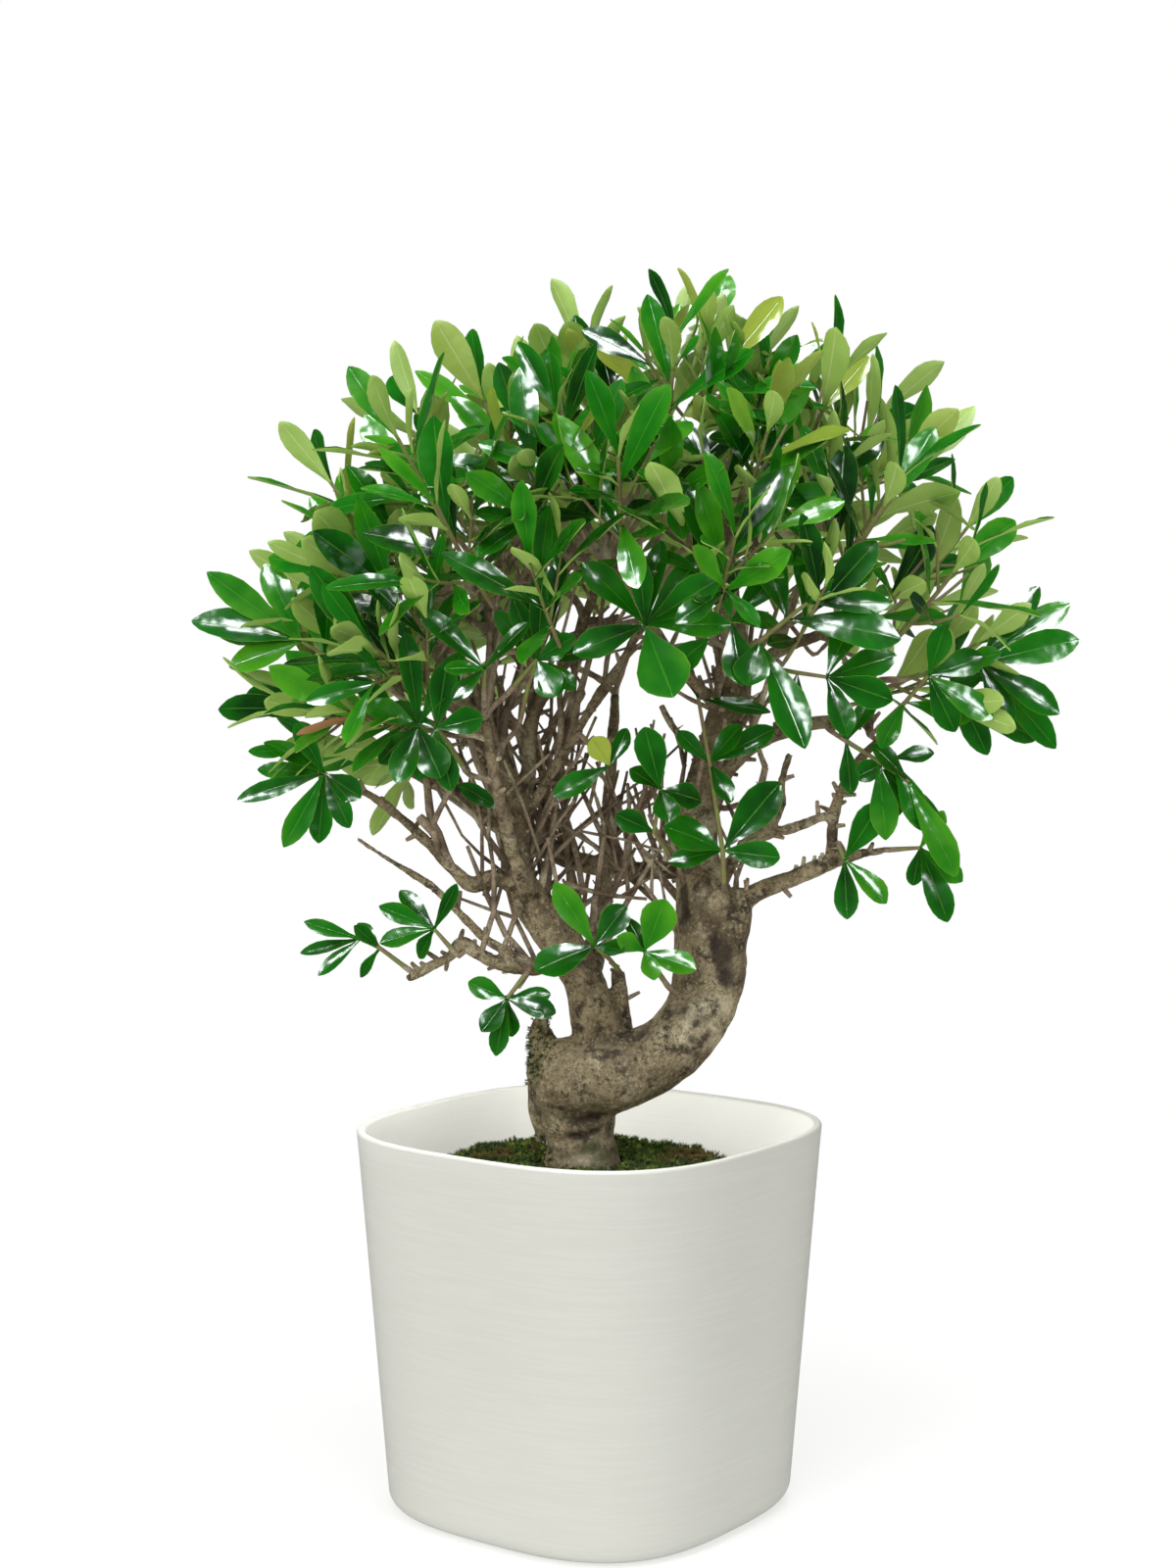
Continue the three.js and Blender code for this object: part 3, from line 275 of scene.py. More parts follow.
studio = {
    "cameraPlace": (0, -1.4, 0.477),
    "cameraDown": 0.064,  # radians below level
    "focalPixels": 2691,
    "pictureSize": (1200, 1600),
    "centreShift": -0.00175,
    "skyBright": 1.0,
    "skyLight": 0.78,
    "skyShine": 0.06,
    "floorTone": (190, 190, 188),
    "floorGlow": 0.5,
    "floorFull": 0.3,  # metres from the middle; the floor fades from here to its reach
    "floorReach": 1.15,
    "floorRadius": 2,
    "floorSteps": 72,
    "aim": (0.02, 0, 0.35),
    "cupAim": (0.05, 0.12, 0.17),
    "lights": [  # name, place, size, watts, colour, for gloss alone
        ("keyLight", (-0.9, -1.2, 1.3), 0.6, 6, (1, 0.995, 0.98), False),
        ("topLight", (0.1, -0.3, 1.7), 0.8, 9, (1, 1, 1), False),
        ("frontLight", (-0.6, -1.75, 0.72), 0.9, 6, (1, 1, 1), False),
        ("cupLight", (-0.05, -0.03, 0.36), 0.2, 0.6, (1, 0.995, 0.98), False),
        ("windowLeft", (-0.75, -1.1, 1.5), 0.55, 34, (0.94, 0.98, 1), True),
        ("windowTop", (0.15, -0.75, 1.75), 0.6, 34, (0.94, 0.98, 1), True),
        ("windowRight", (0.95, -1.2, 1.1), 0.4, 14, (0.94, 0.98, 1), True),
        ("backLight", (0.3, 1.1, 1.5), 0.8, 5, (0.97, 0.99, 1), False),
    ],
}


def makeStage():
    scene = bpy.context.scene
    scene.view_settings.view_transform = "Standard"
    width, height = studio["pictureSize"]
    camera = bpy.data.cameras.new("camera")
    camera.sensor_fit = "VERTICAL"
    camera.sensor_height = 36
    camera.sensor_width = 36 * width / height
    camera.lens = 36 * studio["focalPixels"] / height
    camera.shift_x = studio["centreShift"]
    camera.clip_start = 0.05
    viewer = bpy.data.objects.new("camera", camera)
    viewer.location = studio["cameraPlace"]
    viewer.rotation_euler = (math.pi / 2 - studio["cameraDown"], 0, 0)
    scene.collection.objects.link(viewer)
    scene.camera = viewer
    for name, place, size, watts, colour, glossAlone in studio["lights"]:
        light = bpy.data.lights.new(name, "AREA")
        light.size = size
        light.energy = watts
        light.color = colour
        lamp = bpy.data.objects.new(name, light)
        lamp.location = place
        lamp.visible_diffuse = not glossAlone
        lamp.visible_glossy = glossAlone
        lamp.visible_camera = False
        aim = studio["cupAim"] if name == "cupLight" else studio["aim"]
        lamp.rotation_euler = (Vector(aim) - Vector(place)).to_track_quat("-Z", "Y").to_euler()
        scene.collection.objects.link(lamp)
    world = bpy.data.worlds.new("studio")
    world.use_nodes = True
    scene.world = world
    sky = Board(world.node_tree)
    seen = sky.add("ShaderNodeLightPath", out="Is Camera Ray")
    mirrored = sky.add("ShaderNodeLightPath", out="Is Glossy Ray")
    strength = seen * (studio["skyBright"] - studio["skyLight"]) + studio["skyLight"]
    strength = strength + mirrored * (studio["skyShine"] - studio["skyLight"])
    background = world.node_tree.nodes["Background"]
    background.inputs["Color"].default_value = (1, 1, 1, 1)
    world.node_tree.links.new(strength.socket, background.inputs["Strength"])
    steps = studio["floorSteps"]
    ring = [level(2 * math.pi * k / steps) * studio["floorRadius"] for k in range(steps)]
    floorFinish = Finish("paleFloor", 0.7)
    floorFinish.shader.inputs["Base Color"].default_value = paint(*studio["floorTone"])
    floorFinish.shader.inputs["Emission Color"].default_value = (1, 1, 1, 1)
    floorFinish.shader.inputs["Emission Strength"].default_value = studio["floorGlow"]
    away = floorFinish.place.vector("LENGTH", out="Value")
    floorFinish.feed("Alpha", 1 - away.above(studio["floorFull"], studio["floorReach"]))
    floor = pieceOf("floor", ring, [tuple(range(steps))], floorFinish.material)
    floor.visible_glossy = False
    print("stage ready")


# The planter: a tapered square-round cup with a rolled lip

planter = {
    "height": 205,
    "rimHalf": 111.5,
    "footHalf": 96.4,
    "squareness": 3,
    "turn": math.radians(-36.6),
    "wall": 4.2,
    "floor": 7,
    "footRadius": 11,
    "lipRadius": 2,
    "segments": 288,
    "tone": (203, 203, 195),
    "shadeTone": (198, 198, 190),
    "streakTone": (224, 224, 217),
    "speckTone": (178, 176, 165),
    # painted light: a lighter colour for the inside wall, and in part a painted highlight on the lip
    "paintedInsideLight": (244, 244, 238),
}


def halfAt(height):
    return planter["footHalf"] + (planter["rimHalf"] - planter["footHalf"]) * height / planter["height"]


def innerHalfAt(height):
    return halfAt(height) - planter["wall"]


def squareRing(half, height, segments=None):
    # one level ring of the square-round plan, in millimetres
    segments = segments or planter["segments"]
    power = planter["squareness"]
    cosine, sine = math.cos(planter["turn"]), math.sin(planter["turn"])
    ring = []
    for k in range(segments):
        around = 2 * math.pi * k / segments
        x, y = math.cos(around), math.sin(around)
        stretch = (abs(x) ** power + abs(y) ** power) ** (-1 / power)
        x, y = x * half * stretch, y * half * stretch
        ring.append(Vector((x * cosine - y * sine, x * sine + y * cosine, height)))
    return ring


def roundRing(centre, radius, height, segments):
    return [Vector((centre + radius * math.cos(2 * math.pi * k / segments),
                    radius * math.sin(2 * math.pi * k / segments), height)) for k in range(segments)]


def bands(rings, sides, loop=False):
    # the faces between each ring of corners and the next; with loop the last meets the first
    faces = []
    for i in range(rings if loop else rings - 1):
        low, high = i * sides, (i + 1) % rings * sides
        for k in range(sides):
            n = (k + 1) % sides
            faces.append((low + k, low + n, high + n, high + k))
    return faces


def skin(rings, loop=False):
    # a closed skin over rings of equal count; without loop both ends close at a middle point
    count = len(rings[0])
    places = [place * mm for ring in rings for place in ring]
    faces = bands(len(rings), count, loop)
    if not loop:
        for ring, first, outward in ((rings[0], 0, False), (rings[-1], (len(rings) - 1) * count, True)):
            middle = sum(ring, Vector()) / count
            places.append(middle * mm)
            for k in range(count):
                n = (k + 1) % count
                corners = (first + k, first + n, len(places) - 1)
                faces.append(corners if outward else corners[::-1])
    return places, faces


def arc(centreHalf, centreHeight, radius, start, end, steps):
    # half widths and heights round a quarter or half turn, angles in degrees
    for k in range(steps + 1):
        angle = math.radians(start + (end - start) * k / steps)
        yield centreHalf + radius * math.cos(angle), centreHeight + radius * math.sin(angle)


def makePlanter():
    p = planter
    foot, lip = p["footRadius"], p["lipRadius"]
    innerFoot = foot - p["wall"]
    profile = [(20, 0), (50, 0), (70, 0), (p["footHalf"] - foot, 0)]
    profile += list(arc(halfAt(foot) - foot, foot, foot, -85, 0, 9))
    profile += [(halfAt(z), z) for z in range(20, 200, 12)]
    profile += list(arc(p["rimHalf"] - lip, p["height"] - lip, lip, 5, 85, 6))
    profile += list(arc(p["rimHalf"] - p["wall"] + lip, p["height"] - lip, lip, 95, 175, 6))
    profile += [(innerHalfAt(z), z) for z in range(196, 20, -11)]
    profile += list(arc(innerHalfAt(14) - innerFoot, 14, innerFoot, 0, -85, 6))
    profile += [(60, p["floor"]), (25, p["floor"])]
    finish = Finish("paleMatte", 0.5, Specular_IOR_Level=0.4)
    cloud = finish.grain(0.16, detail=1).above(0.2, 0.8)
    streaks = finish.grain(0.05, detail=5, roughness=0.7, stretch=(1, 1, 28))
    fine = finish.grain(0.0016, detail=2)
    finish.feed("Base Color", finish.layered(
        paint(*p["shadeTone"]),
        (cloud, paint(*p["tone"])),
        (streaks.above(0.42, 0.62) * 0.13, paint(*p["streakTone"])),
        (fine.above(0.62, 0.75) * 0.12, paint(*p["speckTone"])),
        # painted light on the inside wall and a painted highlight along the lip
        (finish.mark("inside") * 0.85, paint(*p["paintedInsideLight"]))))
    finish.feed("Roughness", streaks * 0.25 + 0.36)
    finish.emboss(streaks * 0.7 + fine * 0.3, 0.0006, 0.22)
    places, faces = skin([squareRing(half, height) for half, height in profile])
    cup = pieceOf("planterCup", places, faces, finish.material)
    top = profile.index(max(profile, key=lambda point: point[1]))
    # the inside is painted lighter as painted light, and the lip takes a share of it as a painted highlight
    rings = [i // p["segments"] for i in range(len(places))]
    inside = [1.0 if ring > top + 4 else 0.3 if ring > top - 3 else 0.0 for ring in rings]
    addMarks(cup.data, "FLOAT", "POINT", inside=inside)
    hand(cup, "planter", "planter")
    # the small lamp over the cup lights the cup alone
    cupOnly = bpy.data.collections.new("cupOnly")
    cupOnly.objects.link(cup)
    lamp = bpy.data.objects["cupLight"]
    lamp.light_linking.receiver_collection = cupOnly
    lamp.light_linking.blocker_collection = cupOnly
    print("planter ready")


# The soil: potting mix, root ball and the moss on it

soil = {
    "mixTop": 150,
    "ballRadius": 74,
    "ballFoot": 60,
    "ballTop": 178,
    "ballX": -3,
    "mossThickness": 5,
    "mossOverhang": 2,
    "holeX": -5.5,
    "holeRadius": 23.6,
    "holeFloor": 125.7,
    "gap": 0.3,
    "segments": 120,
    "mossSegments": 140,
    "mixTones": ((40, 31, 24), (74, 58, 42), (120, 96, 68)),
    "mossTones": ((44, 60, 20), (92, 120, 36), (166, 180, 66)),
    "deadTones": ((58, 40, 26), (130, 100, 64)),
    "dryTuftTone": (122, 96, 50),
    "litterTones": ((96, 46, 34), (150, 126, 84), (60, 44, 32)),
    "tuft": {"blades": 7, "length": 3.2, "width": 0.55, "spread": 0.9, "seed": 41},
    "flake": {"size": 2.2, "seed": 42},
    # how each kind is scattered; the density is per square metre
    "tufts": {"seed": 5, "density": 150000, "sizes": (0.6, 1.25), "lean": 0.7, "leastRise": 0.25},
    "litter": {"seed": 9, "density": 9000, "sizes": (0.5, 1.4), "lean": 1.5, "leastRise": 0.25},
    "trunkTufts": {"seed": 12, "density": 150000, "sizes": (0.45, 1.0), "lean": 1.2, "leastRise": -1.0},
    "trunkMoss": ((-31, 246, 10, 16), (-27, 262, 7, 5), (-29, 188, 9, 10)),  # x, z, half width, half height
}


def rough(place, size, seed=0.0):  # noise from -1 to 1 at a place in millimetres
    return noise.noise(place / size + Vector((seed, 1.7 * seed, -seed)))


def crumbFinish():
    finish = Finish("crumblySoil", 0.95, Specular_IOR_Level=0.2)
    dark, middle, pale = (paint(*tone) for tone in soil["mixTones"])
    crumbs = finish.grain(0.004, detail=6, roughness=0.7)
    spots = finish.grain(0.0025, detail=3, shift=3)
    finish.feed("Base Color", finish.layered(
        dark, (crumbs.above(0.38, 0.6), middle), (spots.above(0.6, 0.68), pale)))
    finish.emboss(crumbs, 0.002, 0.9)
    return finish.material


def makeSoil():
    s = soil
    count = s["segments"]
    finish = crumbFinish()
    low, gap = planter["floor"] + s["gap"], s["gap"]
    hole = s["ballRadius"] + 2 * gap
    innerRound = planter["footRadius"] - planter["wall"]
    rings = [squareRing(40, low, count), squareRing(innerHalfAt(low) - innerRound - gap, low, count),
             squareRing(innerHalfAt(low + innerRound) - gap, low + innerRound, count)]
    rings += [squareRing(innerHalfAt(z) - gap, z, count) for z in (50, 100, s["mixTop"] - 2)]
    outer = squareRing(innerHalfAt(s["mixTop"]) - gap - 1, s["mixTop"], count)
    centre, middle = Vector((s["ballX"], 0, s["mixTop"])), Vector((0, 0, s["mixTop"]))
    inner = [centre + (place - middle).normalized() * hole for place in outer]
    for step in range(9):
        ring = [a.lerp(b, step / 8) for a, b in zip(outer, inner)]
        for place in ring:
            place.z += 1.6 * rough(place, 9) + 0.9 * rough(place, 3.5, 4)
        rings.append(ring)
    rings.append([Vector((place.x, place.y, s["ballFoot"] - gap)) for place in inner])
    mix = pieceOf("pottingMix", *skin(rings), finish)
    hand(mix, "potting_mix", "potting_mix")

    def ballRing(radius, height, bumps):
        ring = roundRing(s["ballX"], radius, height, count)
        for place in ring:
            outward = Vector((place.x - s["ballX"], place.y, 0)).normalized()
            place += outward * bumps * (rough(place, 8, 2) + 0.5 * rough(place, 3, 5) - 0.8)
        return ring

    rings = [ballRing(30, s["ballFoot"], 0), ballRing(s["ballRadius"] - 3, s["ballFoot"], 0)]
    rings += [ballRing(s["ballRadius"] - 2 + 2 * (z - 62) / 114, z, 1) for z in range(62, 178, 3)]
    rings += [ballRing(s["ballRadius"] - 2, s["ballTop"], 0), ballRing(45, s["ballTop"], 0)]
    rings += [roundRing(s["holeX"], s["holeRadius"], z, count) for z in (s["ballTop"], s["holeFloor"])]
    ball = pieceOf("rootBall", *skin(rings), finish)
    hand(ball, "potting_mix", "root_ball")
    print("soil ready")


def mossHeight(x, y):
    # the cushion's own swell at a place, in millimetres, as the model has it
    return 0.9 * (math.sin(0.21 * x + 1.3) * math.cos(0.17 * y - 0.4) + 0.6 * math.sin(0.33 * y + 0.12 * x))


def scatterTree():
    # scatters copies of a small shape over the faces that rise enough and lie high enough
    board, wires = geometryBoard("scatter", {
        "Piece": "Object", "Per square metre": "Float", "Seed": "Int", "Smallest": "Float",
        "Largest": "Float", "Lowest": "Float", "Lean": "Float", "Least rise": "Float", "Finish": "Material"})
    normal = board.add("GeometryNodeInputNormal")
    place = board.add("GeometryNodeInputPosition")
    onTop = board.height(normal).worked("GREATER_THAN", wires["Least rise"])
    onTop = onTop * board.height(place).worked("GREATER_THAN", wires["Lowest"])
    points = board.add("GeometryNodeDistributePointsOnFaces", {"distribute_method": "RANDOM"}, {
        "Mesh": wires["Geometry"], "Selection": onTop, "Density": wires["Per square metre"],
        "Seed": wires["Seed"]})
    facing = Wire(board, points.socket.node.outputs["Rotation"])
    spin = board.add("FunctionNodeRandomValue", {"data_type": "FLOAT_VECTOR"}, {
        0: (0, 0, 0), 1: (1, 1, 1), "Seed": wires["Seed"]})
    centred = spin.plus((-0.5, -0.5, 0)).vector("MULTIPLY", board.add("ShaderNodeCombineXYZ", {}, {
        0: wires["Lean"], 1: wires["Lean"], 2: 6.283}))
    angles = board.add("FunctionNodeEulerToRotation", {}, {0: centred})
    turned = board.add("FunctionNodeRotateRotation", {"rotation_space": "LOCAL"}, {0: facing, 1: angles})
    size = board.drawn(wires["Smallest"], wires["Largest"], wires["Seed"] + 1)
    shape = board.add("GeometryNodeObjectInfo", {}, {"Object": wires["Piece"]}, out="Geometry")
    standing = board.add("GeometryNodeInstanceOnPoints", {}, {
        "Points": points, "Instance": shape, "Rotation": turned, "Scale": size})
    toned = board.add("GeometryNodeStoreNamedAttribute", {"data_type": "FLOAT", "domain": "INSTANCE"}, {
        "Geometry": standing, "Name": "pieceTone", "Value": board.drawn(0.0, 1.0, wires["Seed"] + 2)})
    return board.ended(board.closed(toned, wires["Finish"]))


def scattered(piece, tree, shape, finish, lowest, values):
    # copies of the shape stand on the piece's faces, none of them lower than lowest
    smallest, largest = values["sizes"]
    grown(piece, tree, {
        "Piece": shape, "Per square metre": float(values["density"]), "Seed": values["seed"],
        "Smallest": smallest, "Largest": largest, "Lowest": lowest * mm, "Lean": values["lean"],
        "Least rise": values["leastRise"], "Finish": finish.material})
    hand(piece, "moss", "moss")


def bladeCluster(name, blades, length, width, spread, seed):
    # a tuft of closed three-sided blades, each bent once
    draw = seededDraw(seed)
    places, faces = [], []
    for k in range(blades):
        around = 2 * math.pi * (k + draw()) / blades
        lean = spread * (0.3 + 0.7 * draw()) if k else 0.1
        long = length * (0.7 + 0.5 * draw())
        out = level(around)
        side = Vector((-out.y, out.x, 0)) * width / 2
        foot = out * width * 0.4
        middle = foot + (out * math.sin(lean * 0.7) + up * math.cos(lean * 0.7)) * long * 0.55
        tip = middle + (out * math.sin(lean * 1.4) + up * math.cos(lean * 1.4)) * long * 0.45
        back = out * width * 0.35
        first = len(places)
        places += [foot - side, foot + side, foot - back]
        places += [middle - side * 0.8, middle + side * 0.8, middle - back * 0.8, tip]
        for a, b in ((0, 1), (1, 2), (2, 0)):
            faces.append(tuple(first + i for i in (b, a, a + 3, b + 3)))
            faces.append(tuple(first + i for i in (b + 3, a + 3, 6)))
        faces.append((first, first + 1, first + 2))
    return pieceOf(name, [place * mm for place in places], faces)


def pebble(name, size, seed):
    # a lump of three uneven five-sided rings
    draw = seededDraw(seed)
    places = []
    for height, radius in ((-0.5, 0.45), (0.0, 1.0), (0.5, 0.6)):
        for k in range(5):
            around = 2 * math.pi * (k + 0.5 * height) / 5
            reach = radius * (0.75 + 0.5 * draw()) * size / 2
            places.append(Vector((
                math.cos(around) * reach, math.sin(around) * reach * 0.8, height * size * 0.7)))
    faces = [tuple(range(4, -1, -1)), tuple(range(10, 15)), *bands(3, 5)]
    return pieceOf(name, [place * mm for place in places], faces)


def makeMoss():
    s = soil
    count = s["mossSegments"]
    foot = s["ballTop"] + s["gap"]
    rim = s["ballRadius"] + s["mossOverhang"]
    hole = s["holeRadius"] + 0.2

    def ring(share, rise):
        # share runs from the trunk's hole, 0, to the rim, 1
        places = []
        for k in range(count):
            around = 2 * math.pi * k / count
            wander = 1 + 0.016 * math.sin(5 * around + 0.8) + 0.012 * math.sin(11 * around)
            wander += 0.02 * noise.noise(Vector((math.cos(around) * 4, math.sin(around) * 4, 3)))
            out = level(around)
            inner = Vector((s["holeX"], 0, 0)) + out * hole
            outer = Vector((s["ballX"], 0, 0)) + out * rim * wander
            place = inner.lerp(outer, share)
            place.z = foot + rise * s["mossThickness"]
            if rise > 0.3:
                place.z += mossHeight(place.x, place.y)
                place.z += 1.3 * rough(place, 9) + 0.8 * rough(place, 4, 3)
            places.append(place)
        return places

    profile = [(0, 0), (0.5, 0), (0.93, 0), (1, 0.3), (0.985, 0.62), (0.94, 0.86), (0.86, 0.98), (0.78, 1.0),
               (0.68, 1.02), (0.58, 1.04), (0.48, 1.07), (0.38, 1.1), (0.28, 1.12), (0.18, 1.16), (0.1, 1.2),
               (0.03, 1.2), (0, 0.9)]
    places, faces = skin([ring(*row) for row in profile], loop=True)
    finish = Finish("mossMat", 0.95, Specular_IOR_Level=0.15)
    dark, middle, pale = (paint(*tone) for tone in s["mossTones"])
    patches = finish.grain(0.022, detail=3)
    crumbs = finish.grain(0.0022, detail=5, roughness=0.7)
    brown = finish.blended(crumbs.above(0.4, 0.6), *(paint(*tone) for tone in s["deadTones"]))
    green = finish.blended(crumbs.above(0.4, 0.62), dark, middle)
    finish.feed("Base Color", finish.blended(patches.above(0.56, 0.64), green, brown))
    finish.emboss(crumbs, 0.002, 1)
    hand(pieceOf("mossMound", places, faces, finish.material), "moss", "moss")

    tuftFinish = Finish("mossTufts", 0.8, Specular_IOR_Level=0.2)
    tone = tuftFinish.mark("pieceTone")
    patches = tuftFinish.grain(0.022, detail=3)
    tuftFinish.feed("Base Color", tuftFinish.layered(
        dark, (tone, middle), (tone.above(0.78, 1.0), pale),
        (patches.above(0.56, 0.64) * 0.75, paint(*s["dryTuftTone"]))))

    scatter = scatterTree()
    tuft = bladeCluster("tuft", **s["tuft"])
    flake = pebble("litter", **s["flake"])
    scattered(pieceOf("mossTufts", places, faces), scatter, tuft, tuftFinish, foot + 1.5, s["tufts"])
    litterFinish = Finish("litter", 0.85)
    shade = litterFinish.mark("pieceTone")
    red, straw, brown = (paint(*tone) for tone in s["litterTones"])
    litterFinish.feed("Base Color", litterFinish.layered(
        red, (shade.above(0.2, 0.5), straw), (shade.above(0.7, 0.9), brown)))
    scattered(pieceOf("mossLitter", places, faces), scatter, flake, litterFinish, foot + 2, s["litter"])
    bpy.data.objects.remove(flake)
    print("moss ready")
    return scatter, tuft, tuftFinish


def makeTrunkMoss(trunk, scatter, tuft, finish):
    # tufts on the flank of the old stump and at the trunk's foot, on the bark's own faces
    mesh = trunk.data
    faces = []
    for face in mesh.polygons:
        place = face.center / mm
        near = min(math.hypot((place.x - x) / wide, (place.z - z) / high)
                   for x, z, wide, high in soil["trunkMoss"])
        if place.y < 14 and near + 0.5 * rough(place, 5) < 1:
            faces.append(face)
    used = sorted({corner for face in faces for corner in face.vertices})
    number = {corner: i for i, corner in enumerate(used)}
    places = [mesh.vertices[corner].co for corner in used]
    sides = [tuple(number[corner] for corner in face.vertices) for face in faces]
    scattered(pieceOf("trunkMoss", places, sides), scatter, tuft, finish, 0, soil["trunkTufts"])
    bpy.data.objects.remove(tuft)
    print("trunk moss ready")


# The tree: its limbs, the branches that reach its sprays, and its bark

